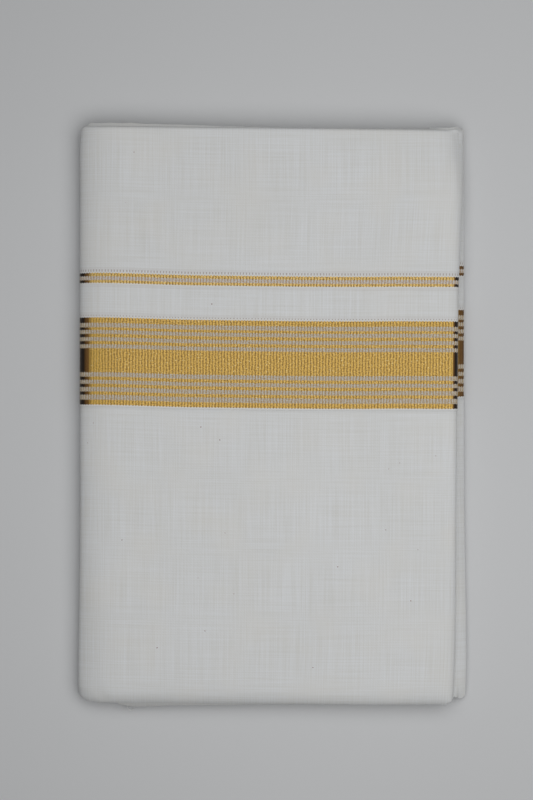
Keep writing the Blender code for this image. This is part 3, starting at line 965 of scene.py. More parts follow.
@dataclass(frozen=True)
class FoldedStrip:
    """The plies under the outer one: a strip of twelve panels, with fine folds at its edges.

    The strip is folded in three with its first third outside, the last third within, and the
    middle third inside them, so three layers run side by side along the whole path. Fields that
    end in waves are wavelengths, and those that end in rows heights of points, in millimetres.

    Attributes:
        fold: The packet's fold.
        first_lane: The stack's shares where the first third's face and back lie; so for the others.
        first_gap: How far the first third's cut end stops short of the outer ply's.
        upper_gap: How far the first and last thirds run past the lower bundle's flat top.
        middle_gap: How much further the middle third runs.
        valley: How deep the slit between two folds is.
        slack: How far an edge wanders inwards.
        slack_start: How far inwards it lies at least.
        waver: How far an edge wavers.
        parting: How far the slit between two folds wanders, as a share of the strip.
        tip_bulge: How far the inner turn of the lower bundle's end reaches.
        tip_inner: How far its inner skin does.
        end_bulge: How far the outer turn reaches.
        end_wall: How thick the strip is there.
        order_fade: How much less each fold of the first layer pokes out than the one above it.
        order_step: How much further in it lies.
        spine_shown: The shares of the top bundle between which that layer's edges come to show.
        nose_shown: The depths between which they do round the nose, in its radii.
    """

    fold: PacketFold
    top_folds: int = 3
    bottom_folds: int = 2
    step: float = 2.6 * MM
    first_lane: Span = (0.0, 0.24)
    middle_lane: Span = (0.26, 0.615)
    last_lane: Span = (1.0, 0.635)
    first_gap: float = 0.3 * MM
    upper_gap: float = 0.3 * MM
    middle_gap: float = 0.5 * MM
    valley: float = 1.3 * MM
    valley_waves: Span = (61.0, 29.0)
    slack: float = 0.55 * MM
    slack_start: float = 0.08 * MM
    waver: float = 0.09 * MM
    waver_waves: tuple[float, ...] = (11.0, 5.3, 2.9)
    parting: float = 0.05
    parting_waves: Span = (140.0, 47.0)
    cap: float = 0.2 * MM
    tip_bulge: float = 1.3 * MM
    tip_inner: float = 0.05 * MM
    end_bulge: float = 2.0 * MM
    end_wall: float = 0.7 * MM
    turn_steps: int = 12
    order_fade: float = 0.22
    order_step: float = 0.25 * MM
    spine_shown: Span = (0.5, 0.9)
    nose_shown: Span = (1.6, 0.8)
    foot_rows: Span = (1.9, 4.0)
    rows: tuple[float, ...] = (-110.0, -98.0, -70.0, -35.0, 0.0, 35.0, 47.0, 70.0, 98.0, 110.0)

    def lane(self, shares: Span, first: float, last: float) -> list[Station]:
        """One layer along the whole path, from the back leg's right to the upper leg's.

        Args:
            shares: The hidden stack's shares where the cloth's face and its back lie.
            first: Where the layer starts on the back leg.
            last: Where it ends on the upper leg.

        Returns:
            Its stations.
        """
        stations = []
        for leg in Leg:
            right = first if leg is Leg.BACK else last
            fine = leg is Leg.FRONT and shares == self.first_lane
            for stop in self.fold.leg_stops(leg, self.step / 2 if fine else self.step, right):
                skins = (self.fold.cross(stop, self.fold.hidden_depth(stop, share)) for share in shares)
                stations.append(Station(leg, *skins, self.fold.front_share(stop)))
        return stations

    def turn(self, before: Station, after: Station, bulge: float, inner: float) -> list[Station]:
        """Goes round an end of the lower bundle, from one layer into another.

        Args:
            before: The last station of the layer that arrives.
            after: The first station of the layer that leaves.
            bulge: How far the cloth's face reaches past them.
            inner: How far its back does.

        Returns:
            The stations of the turn.
        """
        stations = []
        for angle in spread(0, math.pi, self.turn_steps)[1:-1]:
            skins = []
            for skin, reach in (("outer", bulge), ("inner", inner)):
                (x0, z0), (x1, z1) = getattr(before, skin), getattr(after, skin)
                t = (1 - math.cos(angle)) / 2
                skins.append((mix(x0, x1, t) + reach * math.sin(angle), mix(z0, z1, t)))
            stations.append(Station(before.leg, *skins, 0.0))
        return stations

    def path(self) -> list[Station]:
        """The stations from the cut end at the back to the one inside the upper end."""
        fold = self.fold
        upper = fold.upper_end_x + self.upper_gap
        tip = fold.lower_right - self.tip_bulge
        first = self.lane(self.first_lane, fold.cut_end - self.first_gap, upper)
        last = self.lane(self.last_lane, tip, upper)[::-1]
        middle = self.lane(self.middle_lane, tip, upper + self.middle_gap)
        stations = first + self.turn(first[-1], last[0], self.end_bulge, self.end_bulge - self.end_wall)
        stations += last + self.turn(last[-1], middle[0], self.tip_bulge, self.tip_inner) + middle
        return measured(stations)

    def poke(self, station: Station, side: str, order: int) -> float:
        """How far a fold of the front leg's first layer stands past the outer ply's edge.

        Args:
            station: The place along the strip.
            side: The edge, top or bottom.
            order: Which of the edge's folds it is, from the face down.

        Returns:
            How far it stands up the packet.
        """
        x = station.middle_x()
        sign = 1 if side == "top" else -1
        out = sign * SECOND_LAYER.read("x", side, x)
        if order == 0:
            out += sum(nick.bulge(x) for nick in SECOND_LAYER_NICKS if nick.side == side)
        return sign * (out * (1 - self.order_fade * order) - self.order_step * order)

    def shown(self, station: Station) -> float:
        """How far the first layer's edges are those that show past the front's outer ply.

        Args:
            station: The place along the strip.

        Returns:
            The share, from 0 to 1.
        """
        if station.leg is Leg.SPINE:
            return smoothstep(*self.spine_shown, station.front)
        if station.leg is Leg.NOSE:
            start, end = (share * self.fold.nose_radius for share in self.nose_shown)
            return smoothstep(start, end, self.fold.thickness - station.outer[1])
        return 1.0 if station.leg is Leg.FRONT else 0.0

    def fold_lines(self, station: Station, layer: int, side: str) -> list[float]:
        """The folds at one edge of the strip.

        Args:
            station: The place along it.
            layer: Which third of the strip it is.
            side: The edge, top or bottom.

        Returns:
            The height of each fold's crest, from the face down.
        """
        at_top = side == "top"
        edge = self.fold.edges(station)[0 if at_top else 1]
        inward = -1 if at_top else 1
        shown = self.shown(station) if layer == 0 else 0.0
        lines = []
        for order in range(self.top_folds if at_top else self.bottom_folds):
            seed = LAYER_SEED * layer + ORDER_SEED * order + (0.0 if at_top else BOTTOM_SEED)
            waver = self.waver * wander(station.run, seed, self.waver_waves)
            drift = self.slack_start + self.slack * (1 + wander(station.run, seed))
            lines.append(edge + waver + mix(inward * drift, self.poke(station, side, order), shown))
        return lines

    def crest(self, lines: Sequence[float], run: float, seed: float, outward: int) -> Ring:
        """The points across one edge of the strip, from its face to its back.

        Args:
            lines: The height of each fold's crest.
            run: The place along the strip.
            seed: Which edge it is, for the wandering of its slits.
            outward: 1 at the top edge and -1 at the bottom one.

        Returns:
            The points.
        """
        count = len(lines)
        parting = [self.parting * wander(run, seed + i, self.parting_waves) for i in range(1, count)]
        cuts = [0.0, *(i / count + shift for i, shift in enumerate(parting, 1)), 1.0]
        points = []
        for i, line in enumerate(lines):
            for share in CAP_SHARES:
                drop = self.cap * cap_drop(share)
                points.append((mix(cuts[i], cuts[i + 1], share), line - outward * drop))
            if i + 1 < count:
                depth = 1 + VALLEY_WANDER * wander(run, seed + VALLEY_SEED + i, self.valley_waves)
                lowest = min(outward * line, outward * lines[i + 1])
                points.append((cuts[i + 1], outward * (lowest - self.valley * depth)))
        return points

    def ring(self, station: Station, layer: int) -> Ring:
        """The strip's section: face, top folds, back and bottom folds.

        Args:
            station: The place along it.
            layer: Which third of the strip it is.

        Returns:
            The section.
        """
        tops = self.fold_lines(station, layer, "top")
        bottoms = self.fold_lines(station, layer, "bottom")
        heights = offsets(max(bottoms), self.foot_rows) + offsets(0.0, self.rows)
        heights.append(min(tops) - self.foot_rows[0] * MM)
        points = [(0.0, y) for y in heights]
        points += self.crest(tops, station.run, TOP_SEED + layer, 1)
        points += [(1.0, y) for y in reversed(heights)]
        points += self.crest(bottoms, station.run, FOOT_SEED + layer, -1)[::-1]
        return points

    def build(self) -> bpy.types.Object:
        """Makes the whole strip as one piece."""
        stations = self.path()
        third = len(stations) / 3
        rings = [self.ring(station, int(i / third)) for i, station in enumerate(stations)]
        return sweep_cloth("folded_strip_cloth", self.fold, stations, rings)


# ---------------------------------------------------------------- threads and flecks

LOOP_SIDES = 8
FIBRE_SIDES = 4


def sort_faces(bm: bmesh.types.BMesh) -> None:
    """Puts the faces in the order of their vertices, since extruding leaves them in any order.

    Args:
        bm: The mesh.
    """
    bm.verts.index_update()
    total = len(bm.verts)

    def place(face: bmesh.types.BMFace) -> int:
        """The face's lowest and highest vertex, as one number.

        Args:
            face: The face.

        Returns:
            The number.
        """
        numbers = [vert.index for vert in face.verts]
        return min(numbers) * total + max(numbers)

    bm.faces.sort(key=place)


def add_thread(bm: bmesh.types.BMesh, points: Sequence[Vector], radius: float, sides: int) -> None:
    """Adds a thin tube along a line of points, by extruding a circle from point to point.

    Args:
        bm: The mesh that it goes into.
        points: The line.
        radius: The tube's radius.
        sides: How many sides it has.
    """
    way = (points[1] - points[0]).normalized()
    matrix = Matrix.Translation(points[0]) @ way.to_track_quat("Z", "Y").to_matrix().to_4x4()
    made = bmesh.ops.create_circle(bm, cap_ends=True, segments=sides, radius=radius, matrix=matrix)
    ring = list(dict.fromkeys(edge for vert in made["verts"] for edge in vert.link_edges))
    for i in range(1, len(points)):
        after = points[min(i + 1, len(points) - 1)]
        heading = (after - points[i - 1]).normalized()
        extruded = bmesh.ops.extrude_edge_only(bm, edges=ring)["geom"]
        verts = [item for item in extruded if isinstance(item, bmesh.types.BMVert)]
        ring = [item for item in extruded if isinstance(item, bmesh.types.BMEdge)]
        bmesh.ops.translate(bm, verts=verts, vec=points[i] - points[i - 1])
        turn = way.rotation_difference(heading).to_matrix()
        bmesh.ops.rotate(bm, verts=verts, cent=points[i], matrix=turn)
        way = heading
    bmesh.ops.holes_fill(bm, edges=ring, sides=0)


class Fibre(NamedTuple):
    """A stray fibre: its root, the way that it leaves the cloth, its length and its curl."""

    root: Vector
    away: Vector
    length: float
    curl: float


@dataclass(frozen=True)
class StrayThreads:
    """The loop of weft at the bottom edge, and the fine fibres that stand off the edges.

    Attributes:
        fold: The packet's fold.
        loop_x: The loop's middle.
        loop_drop: How far it hangs out of the edge.
        loop_depth: How deep it comes out under the face.
        loop_tuck: How far inside the edge its ends are.
        loop_twist: How far one of them lies above the other, either way.
        loop_open: How far past half a turn the loop goes at each end, as an angle.
        fibre_axis: The line that the fibres curl about.
        edge_x: Where those of the top and bottom edges may be, in millimetres.
        edge_z: How high, as a share of the packet's height.
        edge_tuck: How far inside the edge they start; side_tuck is the sides'.
        side_y: Where those of the two sides may be, in millimetres.
        spine_angle: The angles round the spine at which they leave it.
        nose_angle: The one round the nose.
        lean: How far they lean along the edge.
        edge_lift: How far those of the top and bottom edges point up.
        side_lift: How far those of the sides do.
        curl: How far they curl, as an angle.
        seed: Which random order they come in.
    """

    fold: PacketFold
    loop_x: float = -60.7 * MM
    loop_width: float = 3.0 * MM
    loop_drop: float = 2.1 * MM
    loop_radius: float = 0.13 * MM
    loop_depth: float = 0.9 * MM
    loop_tuck: float = 0.1 * MM
    loop_twist: float = 0.15 * MM
    loop_open: float = 0.35
    loop_steps: int = 18
    fibre_radius: float = 0.022 * MM
    fibre_count: int = 46
    fibre_steps: int = 5
    fibre_axis: tuple[float, float, float] = (0.2, 0.1, 1.0)
    edge_x: Span = (-78.0, 76.0)
    edge_z: Span = (0.45, 0.97)
    edge_tuck: float = 0.1 * MM
    side_y: Span = (-115.0, 115.0)
    spine_angle: Span = (1.4, 2.2)
    nose_angle: float = 1.3
    side_tuck: float = 0.05 * MM
    lean: Span = (-0.8, 0.8)
    edge_lift: Span = (-0.2, 0.5)
    side_lift: Span = (-0.1, 0.5)
    length: Span = (0.7, 2.6)
    curl: Span = (-1.6, 1.6)
    seed: int = 11

    def loop_points(self) -> list[Vector]:
        """The points of a small open loop that hangs out of the second layer's bottom edge."""
        fold = self.fold
        edge = TOP_BUNDLE.read("x", "bottom", self.loop_x) + SECOND_LAYER.read("x", "bottom", self.loop_x)
        points = []
        for angle in spread(-self.loop_open, math.pi + self.loop_open, self.loop_steps):
            x = self.loop_x - math.cos(angle) * self.loop_width / 2
            y = edge - math.sin(angle) * self.loop_drop + self.loop_tuck
            z = fold.thickness - self.loop_depth + self.loop_twist * math.cos(angle)
            points.append(fold.settle(x, y, z, 1.0))
        return points

    def fibres(self) -> Iterable[Fibre]:
        """The fibres round the packet's outline, in a fixed random order."""
        rng = Random(self.seed)
        fold = self.fold
        for i in range(self.fibre_count):
            side = ("top", "bottom", "left", "right")[i % 4]
            sign = 1 if side in ("top", "right") else -1
            z = fold.thickness * rng.uniform(*self.edge_z)
            if side in ("top", "bottom"):
                x = rng.uniform(*self.edge_x) * MM
                root = fold.settle(x, TOP_BUNDLE.read("x", side, x) - sign * self.edge_tuck, z, 1.0)
                away = Vector((rng.uniform(*self.lean), sign, rng.uniform(*self.edge_lift)))
            else:
                y = rng.uniform(*self.side_y) * MM
                stop = Stop(Leg.NOSE, self.nose_angle)
                if side == "left":
                    stop = Stop(Leg.SPINE, rng.uniform(*self.spine_angle))
                x, z = fold.cross(stop, self.side_tuck)
                root = fold.settle(x, y, z, fold.front_share(stop))
                away = Vector((sign, rng.uniform(*self.lean), rng.uniform(*self.side_lift)))
            yield Fibre(root, away.normalized(), rng.uniform(*self.length) * MM, rng.uniform(*self.curl))

    def fibre_points(self, fibre: Fibre) -> list[Vector]:
        """The line of a curling fibre.

        Args:
            fibre: The fibre.

        Returns:
            Its points, from the root.
        """
        points = [fibre.root]
        direction = fibre.away
        turn = Matrix.Rotation(fibre.curl / self.fibre_steps, 3, Vector(self.fibre_axis).normalized())
        for _ in range(self.fibre_steps):
            points.append(points[-1] + direction * fibre.length / self.fibre_steps)
            direction = turn @ direction
        return points

    def build(self) -> bpy.types.Object:
        """Makes the loop and the fibres as one piece."""
        bm = bmesh.new()
        add_thread(bm, self.loop_points(), self.loop_radius, LOOP_SIDES)
        for fibre in self.fibres():
            add_thread(bm, self.fibre_points(fibre), self.fibre_radius, FIBRE_SIDES)
        sort_faces(bm)
        return finish_mesh("stray_threads", bm)


class Fleck(NamedTuple):
    """A speck of seed husk that is woven in: its place on the front and its size, in millimetres."""

    x: float
    y: float
    size: float


FLECKS = (
    Fleck(-59.1, 112.3, 0.52),
    Fleck(-62.6, 90.9, 0.30),
    Fleck(-25.9, 47.5, 0.70),
    Fleck(-76.6, -3.3, 0.48),
    Fleck(-79.2, -11.8, 0.43),
    Fleck(-30.6, -5.0, 0.67),
    Fleck(-22.5, -10.5, 0.59),
    Fleck(-64.3, -53.2, 0.57),
    Fleck(-20.3, -50.2, 0.45),
    Fleck(-31.8, -69.4, 0.36),
    Fleck(-16.5, -76.2, 0.47),
    Fleck(-28.9, -92.0, 0.62),
    Fleck(-49.3, -99.2, 0.69),
    Fleck(69.6, -17.3, 0.45),
    Fleck(54.3, -20.3, 0.40),
    Fleck(49.6, -22.9, 0.45),
    Fleck(48.3, -48.9, 0.49),
    Fleck(62.0, -57.4, 0.41),
    Fleck(27.8, -64.7, 0.63),
    Fleck(59.0, -79.2, 0.64),
    Fleck(17.2, -107.7, 0.54),
)


@dataclass(frozen=True)
class SeedFlecks:
    """The flecks of cotton husk that bleaching leaves in a handloom cloth.

    Attributes:
        sheets: The sheets that they lie on.
        height: How far a fleck stands up.
        slim: How many times shorter it is across than along.
        turn: How far each is turned from the one before it, as an angle.
        above: A height from which every sheet lies below.
    """

    sheets: Sequence[bpy.types.Object]
    height: float = 0.035 * MM
    slim: float = 1.5
    turn: float = 1.9
    above: float = 1.0

    def build(self) -> bpy.types.Object:
        """Makes all the flecks as one piece of flat beads that lie on the sheets' front."""
        fronts = [self.front(sheet.data) for sheet in self.sheets]
        bm = bmesh.new()
        for i, fleck in enumerate(FLECKS):
            start = Vector((fleck.x * MM, fleck.y * MM, self.above))
            hits = [front.ray_cast(start, Vector((0, 0, -1)))[0] for front in fronts]
            place = max((hit for hit in hits if hit), key=lambda hit: hit.z)
            half = fleck.size / 2 * MM
            matrix = Matrix.Translation(place) @ Matrix.Rotation(self.turn * i, 4, "Z")
            matrix = matrix @ Matrix.Diagonal((half, half / self.slim, self.height, 1))
            bmesh.ops.create_icosphere(bm, subdivisions=1, radius=1.0, matrix=matrix)
        return finish_mesh("seed_flecks", bm)

    @staticmethod
    def front(mesh: bpy.types.Mesh) -> BVHTree:
        """A sheet's faces, to find where its surface lies under a point."""
        return BVHTree.FromPolygons([v.co for v in mesh.vertices], [p.vertices for p in mesh.polygons])


# ---------------------------------------------------------------- finishes


def linear(hex_colour: str) -> tuple[float, float, float, float]:
    """A colour for a shader socket, from an sRGB hex value."""
    channels = [int(hex_colour[i : i + 2], 16) / 255 for i in (1, 3, 5)]
    return (*(c / 12.92 if c <= 0.04045 else ((c + 0.055) / 1.055) ** 2.4 for c in channels), 1.0)


class Coat:
    """A new material and the nodes that feed its shader.

    Attributes:
        material: The material.
        tree: Its node tree.
        shader: Its shader.
    """

    def __init__(self, name: str) -> None:
        """Makes the material, with a bare shader.

        Args:
            name: Its name.
        """
        self.material = bpy.data.materials.new(name)
        self.material.use_nodes = True
        self.tree = self.material.node_tree
        self.shader = self.tree.nodes["Principled BSDF"]

    def feed(self, node: bpy.types.Node, key: int | str, value: object) -> None:
        """Fills a socket of a node.

        Args:
            node: The node.
            key: The socket's number or name.
            value: A socket that is linked to it, a node whose first shown output is, a colour's
                hex value, or the plain value that it is set to.
        """
        if isinstance(value, bpy.types.Node):
            value = next(socket for socket in value.outputs if socket.enabled)
        if isinstance(value, bpy.types.NodeSocket):
            self.tree.links.new(value, node.inputs[key])
        else:
            node.inputs[key].default_value = linear(value) if isinstance(value, str) else value

    def add(self, kind: str, *values: object, **settings: object) -> bpy.types.Node:
        """Adds a node with its settings and links.

        Args:
            kind: The node's type.
            values: What its shown sockets are fed, in their order.
            settings: The node's properties.

        Returns:
            The node.
        """
        node = self.tree.nodes.new(kind)
        for key, value in settings.items():
            setattr(node, key, value)
        shown = [i for i, socket in enumerate(node.inputs) if socket.enabled]
        for i, value in zip(shown, values):
            self.feed(node, i, value)
        return node


class ClothCoat(Coat):
    """The material of a cloth piece, which reads the cloth's own measure.

    Attributes:
        cloth: The place on the cloth, in metres.
        along: How far along the cloth it is.
        above: How far above the selvedge.
        tilt: How far the cloth has tipped over a fold there, from 0 to 1.
    """

    def __init__(self, name: str) -> None:
        """Makes the material and the nodes that read the measure.

        Args:
            name: Its name.
        """
        super().__init__(name)
        self.cloth = self.add("ShaderNodeUVMap", uv_map=UV_NAME).outputs[0]
        axes = self.add("ShaderNodeSeparateXYZ", self.cloth)
        self.along, self.above = axes.outputs[0], axes.outputs[1]
        self.tilt = self.add("ShaderNodeAttribute", attribute_name=TILT_NAME).outputs["Fac"]


class Stripe(NamedTuple):
    """A stripe along the cloth: its lower and upper edge above the selvedge, in millimetres."""

    low: float
    high: float


GOLD_STRIPES = (
    Stripe(0.5, 2.72),
    Stripe(4.9, 6.18),
    Stripe(8.1, 9.47),
    Stripe(11.25, 12.5),
    Stripe(14.46, 24.66),
    Stripe(26.28, 27.68),
    Stripe(29.45, 30.74),
    Stripe(32.5, 33.7),
    Stripe(35.4, 37.9),
    Stripe(52.6, 53.78),
    Stripe(55.42, 56.9),
)
BANDS = (Stripe(0.5, 37.9), Stripe(52.6, 56.9))
RIMS = (Stripe(0.0, 38.5), Stripe(52.1, 57.5))
TICKS = (Stripe(38.5, 39.0), Stripe(57.6, 58.45))
# Where the cloth is darker, just beside each band.
DARKER_BESIDE = (Stripe(39.0, 40.1), Stripe(51.0, 52.1), Stripe(58.2, 59.3))
BLACK, WHITE = (0, 0, 0, 1), (1, 1, 1, 1)


@dataclass(frozen=True)
class Cotton:
    """Bleached handloom cotton in plain weave: matt, a little fuzzy, with slubs both ways.

    Attributes:
        name: The material's name.
        ground: The cloth's colour.
        slub: The colour of its thicker, yellower threads.
        cream: The colour that it goes towards in faint patches, where it is less bleached.
        pressed: The colour of a painted shadow, a faint line just under the flap's selvedge.
        thread: The spacing of its threads.
        slub_width: How wide a slub shows, which is a few threads.
        slub_length: How long one is.
        weft_share: How strong the weft's slubs are, beside the warp's.
        cloud: The size of its faint clouds.
        cloud_share: How strong they are, beside the warp's slubs.
        slub_span: The sum of all these at which the slubs' colour starts, and is full.
        patch: The size of a creamy patch.
        patch_span: The random value at which a patch starts, and is full.
        patch_share: How creamy it is there.
        hem_shadow_width: How far that painted shadow fades out below the selvedge.
        hem_shadow_share: How strong it is at the selvedge.
        sheen: How fuzzy it is.
        specular: How much light its threads mirror.
        relief: How strong the threads' relief is.
    """

    name: str
    ground: str = "#E5E7E9"
    slub: str = "#D8D8D5"
    cream: str = "#E2DFD8"
    # The colour of a painted shadow, in a faint line under the flap's selvedge.
    pressed: str = "#B4B5B5"
    thread: float = 0.34 * MM
    slub_width: float = 0.52 * MM
    slub_length: float = 30 * MM
    slub_detail: float = 2.0
    weft_share: float = 0.75
    cloud: float = 1 / 28
    cloud_share: float = 0.25
    slub_span: Span = (0.68, 1.32)
    patch: float = 21 * MM
    patch_span: Span = (0.45, 0.7)
    patch_share: float = 0.25
    hem_shadow_width: float = 1.5 * MM
    hem_shadow_share: float = 0.27
    roughness: float = 0.92
    sheen: float = 0.12
    sheen_roughness: float = 0.5
    specular: float = 0.25
    relief: float = 0.35
    relief_depth: float = 0.05 * MM

    def material(self) -> bpy.types.Material:
        """Makes the material."""
        coat = ClothCoat(self.name)
        coat.feed(coat.shader, "Sheen Weight", self.sheen)
        coat.feed(coat.shader, "Sheen Roughness", self.sheen_roughness)
        coat.feed(coat.shader, "Specular IOR Level", self.specular)
        coat.feed(coat.shader, "Roughness", self.roughness)
        relief = coat.add("ShaderNodeBump", self.relief, self.relief_depth)
        coat.feed(relief, "Height", self.dress(coat))
        coat.feed(coat.shader, "Normal", relief)
        return coat.material

    def dress(self, coat: ClothCoat) -> bpy.types.Node:
        """Gives the shader the cloth's colour, with a painted shadow just under the flap's selvedge.

        Args:
            coat: The material.

        Returns:
            The height of the cloth's relief.
        """
        # Painted shadow under the flap's selvedge: the cloth goes towards a grey that fades out below it.
        line = coat.add("ShaderNodeMapRange", coat.above, -self.hem_shadow_width, 0.0, 0.0, self.hem_shadow_share)
        colour = coat.add("ShaderNodeMix", line, self.colour(coat), self.pressed, data_type="RGBA")
        coat.feed(coat.shader, "Base Color", colour)
        return self.weave(coat)

    def colour(self, coat: ClothCoat) -> bpy.types.Node:
        """The cloth's colour: its ground, streaked by slubs both ways, clouded and patched.

        Args:
            coat: The material.

        Returns:
            The colour.
        """
        across, along = 1 / self.slub_width, 1 / self.slub_length
        streaks = []
        for scale in ((across, along, 1.0), (along, across, 1.0)):
            stretched = coat.add("ShaderNodeMapping", coat.cloth)
            coat.feed(stretched, "Scale", scale)
            streaks.append(coat.add("ShaderNodeTexNoise", stretched, 1.0, self.slub_detail))
        warp, weft = streaks
        both = coat.add("ShaderNodeMath", weft, self.weft_share, warp, operation="MULTIPLY_ADD")
        clouds = coat.add("ShaderNodeTexNoise", coat.cloth, 1 / self.cloud, self.slub_detail)
        tint = coat.add("ShaderNodeMath", clouds, self.cloud_share, both, operation="MULTIPLY_ADD")
        amount = coat.add("ShaderNodeMapRange", tint, *self.slub_span)
        woven = coat.add("ShaderNodeMix", amount, self.ground, self.slub, data_type="RGBA")
        patches = coat.add("ShaderNodeTexNoise", coat.cloth, 1 / self.patch, 1.0)
        aged = coat.add("ShaderNodeMapRange", patches, *self.patch_span, 0.0, self.patch_share)
        return coat.add("ShaderNodeMix", aged, woven, self.cream, data_type="RGBA")

    def weave(self, coat: ClothCoat) -> bpy.types.Node:
        """The relief of the plain weave: threads that pass over and under each other.

        Args:
            coat: The material.

        Returns:
            Its height.
        """
        waves = []
        for axis in (coat.along, coat.above):
            phase = coat.add("ShaderNodeMath", axis, math.pi / self.thread, operation="MULTIPLY")
            waves.append(coat.add("ShaderNodeMath", phase, operation="SINE"))
        return coat.add("ShaderNodeMath", *waves, operation="MULTIPLY")


class Tilt(NamedTuple):
    """How a fold changes the gilt's painted shade and highlight: the tilts where a change starts and ends,
    and its strengths.
    """

    low: float
    high: float
    before: float
    past: float


@dataclass(frozen=True)
class ZariCotton(Cotton):
    """The same cotton with a woven border of zari, a flat gilt thread wound on a core.

    The gilt is metal, so it is bright where it faces the light and nearly black where it turns
    over a fold. That dark, the brown before it, and a brighter glint where the cloth starts to tip
    are painted shade and painted highlight in its colour, set by the fold's tilt. White weft
    crosses it in ribs, which break the thin stripes between the gold ones into dashes.

    Attributes:
        rib: The spacing of the ribs, which is four weft threads.
        wobble: How far a rib wobbles.
        wobble_size: The size of that wobble along the rib.
        jag: How far a rib pushes the stripes' edges up.
        rib_height: How much higher the ribs are than the plain weave.
        rib_share: How much of the threads' brightness the ribs give.
        speckle: The size of what chance gives.
        speckle_span: The random values that chance is spread over.
        speckle_share: The least and the most that it gives.
        gold: The gilt's colour on a rib.
        groove: Its colour between two ribs.
        spark: A painted highlight's colour, where a turn of the flat thread catches the light.
        spark_size: The size of such a turn.
        spark_span: The random value at which one starts, and is full.
        spark_share: How bright it is.
        dash: The colour of a white dash; fine_dash is the narrow band's.
        shade: The colour of the gap between two dashes; fine_shade is the narrow band's.
        fine_glow: How far the narrow band's gilt goes towards that painted highlight where it glints.
        tick: The colour of the dark ticks beside a band, where a rib's weft dips under.
        tick_span: How far down into a groove a tick starts, and is full.
        tick_share: How strong it is.
        beside_darkening: How far the cloth just beside a band goes towards the ticks' colour.
        rim: The colour of the white warp next to a band.
        painted_fold_shade: The gilt's brown painted shade where it starts down a fold.
        turned: The gilt's near-black painted shade where it stands on the fold.
        metal: How metallic the gilt is, which is wound on a core that shows between its turns.
        painted_tip_glint: A painted highlight, which is how much more of it glints where the cloth starts to
            tip.
        painted_shade_tilt: How that brown painted shade comes on down a fold.
        stand: How the near-black painted shade comes on, on the fold.
        rest: How much of that painted shade is left past the fold.
        border_height: A height above the whole border.
    """

    rib: float = 1.315 * MM
    wobble: float = 0.7 * MM
    wobble_size: float = 3.1 * MM
    jag: float = -0.3 * MM
    rib_height: float = 1.6
    rib_share: float = 0.8
    speckle: float = 0.55 * MM
    speckle_detail: float = 2.0
    speckle_roughness: float = 0.7
    speckle_span: Span = (0.35, 0.65)
    speckle_share: Span = (-0.4, 0.6)
    gold: str = "#E7BD60"
    groove: str = "#8A6A31"
    # The colour of the painted highlights on the gilt.
    spark: str = "#F6DFA2"
    spark_size: float = 0.62 * MM
    spark_span: Span = (0.69, 0.8)
    spark_share: float = 0.8
    dash: str = "#CFCBC1"
    shade: str = "#AC8F65"
    fine_dash: str = "#D4D2CF"
    fine_shade: str = "#B79A78"
    fine_glow: float = 0.27
    tick: str = "#B5ABA5"
    tick_span: Span = (0.45, 0.15)
    tick_share: float = 0.9
    beside_darkening: float = 0.13
    rim: str = "#E0DFDC"
    # Painted shade of the gilt over a fold: brown where it starts down, near black where it stands.
    painted_fold_shade: str = "#6A4522"
    turned: str = "#1E140C"
    metal: float = 0.2
    gilt_roughness: float = 0.45
    # A painted highlight: the gilt brightens where the cloth starts to tip.
    painted_tip_glint: Tilt = Tilt(0.05, 0.28, 0.0, 0.3)
    # The tilts at which the painted shade comes on, and how much of it stays past the fold.
    painted_shade_tilt: Tilt = Tilt(0.29, 0.41, 0.0, 0.9)
    stand: Tilt = Tilt(0.42, 0.56, 0.0, 0.97)
    rest: Tilt = Tilt(0.8, 0.98, 1.0, 0.3)
    border_height: float = 60.0 * MM

    def dress(self, coat: ClothCoat) -> bpy.types.Node:
        """Gives the shader the plain cloth and the border over it.

        Args:
            coat: The material.

        Returns:
            The height of the cloth's relief.
        """
        rib = self.ribs(coat)
        jagged = coat.add("ShaderNodeMath", rib, self.jag, coat.above, operation="MULTIPLY_ADD")
        gold = self.stripes(coat, jagged, GOLD_STRIPES)
        band = self.stripes(coat, jagged, BANDS)
        narrow = self.stripes(coat, coat.above, BANDS[1:])
        shine = self.shine(coat, rib)
        gilt = self.gilt(coat, shine, narrow)

        dashes = coat.add("ShaderNodeMix", shine, self.shade, self.dash, data_type="RGBA")
        fine = coat.add("ShaderNodeMix", shine, self.fine_shade, self.fine_dash, data_type="RGBA")
        between = coat.add("ShaderNodeMix", narrow, dashes, fine, data_type="RGBA")
        rims = self.stripes(coat, coat.above, RIMS)
        beside = coat.add("ShaderNodeMix", rims, self.ticks(coat, rib), self.rim, data_type="RGBA")
        over = coat.add("ShaderNodeMix", band, beside, between, data_type="RGBA")
        colour = coat.add("ShaderNodeMix", gold, over, gilt, data_type="RGBA")
        coat.feed(coat.shader, "Base Color", colour)
        metal = coat.add("ShaderNodeMath", gold, self.metal, operation="MULTIPLY")
        coat.feed(coat.shader, "Metallic", metal)
        rough = coat.add("ShaderNodeMix", gold, self.roughness, self.gilt_roughness, data_type="FLOAT")
        coat.feed(coat.shader, "Roughness", rough)

        raised = coat.add("ShaderNodeMath", band, rib, operation="MULTIPLY")
        weave = self.weave(coat)
        return coat.add("ShaderNodeMath", raised, self.rib_height, weave, operation="MULTIPLY_ADD")

    def gilt(self, coat: ClothCoat, shine: bpy.types.Node, narrow: bpy.types.Node) -> bpy.types.Node:
        """The gilt's colour: ribbed, with painted sparks and glints, and painted shade over a fold.

        Args:
            coat: The material.
            shine: How bright the threads are.
            narrow: 1 in the narrow band.

        Returns:
            The colour.
        """
        # Painted highlight where the cloth starts to tip, added to the ribs' and threads' brightness.
        glint = coat.add("ShaderNodeMath", self.tilted(coat, self.painted_tip_glint), shine, operation="ADD")
        ribbed = coat.add("ShaderNodeMix", glint, self.groove, self.gold, data_type="RGBA")
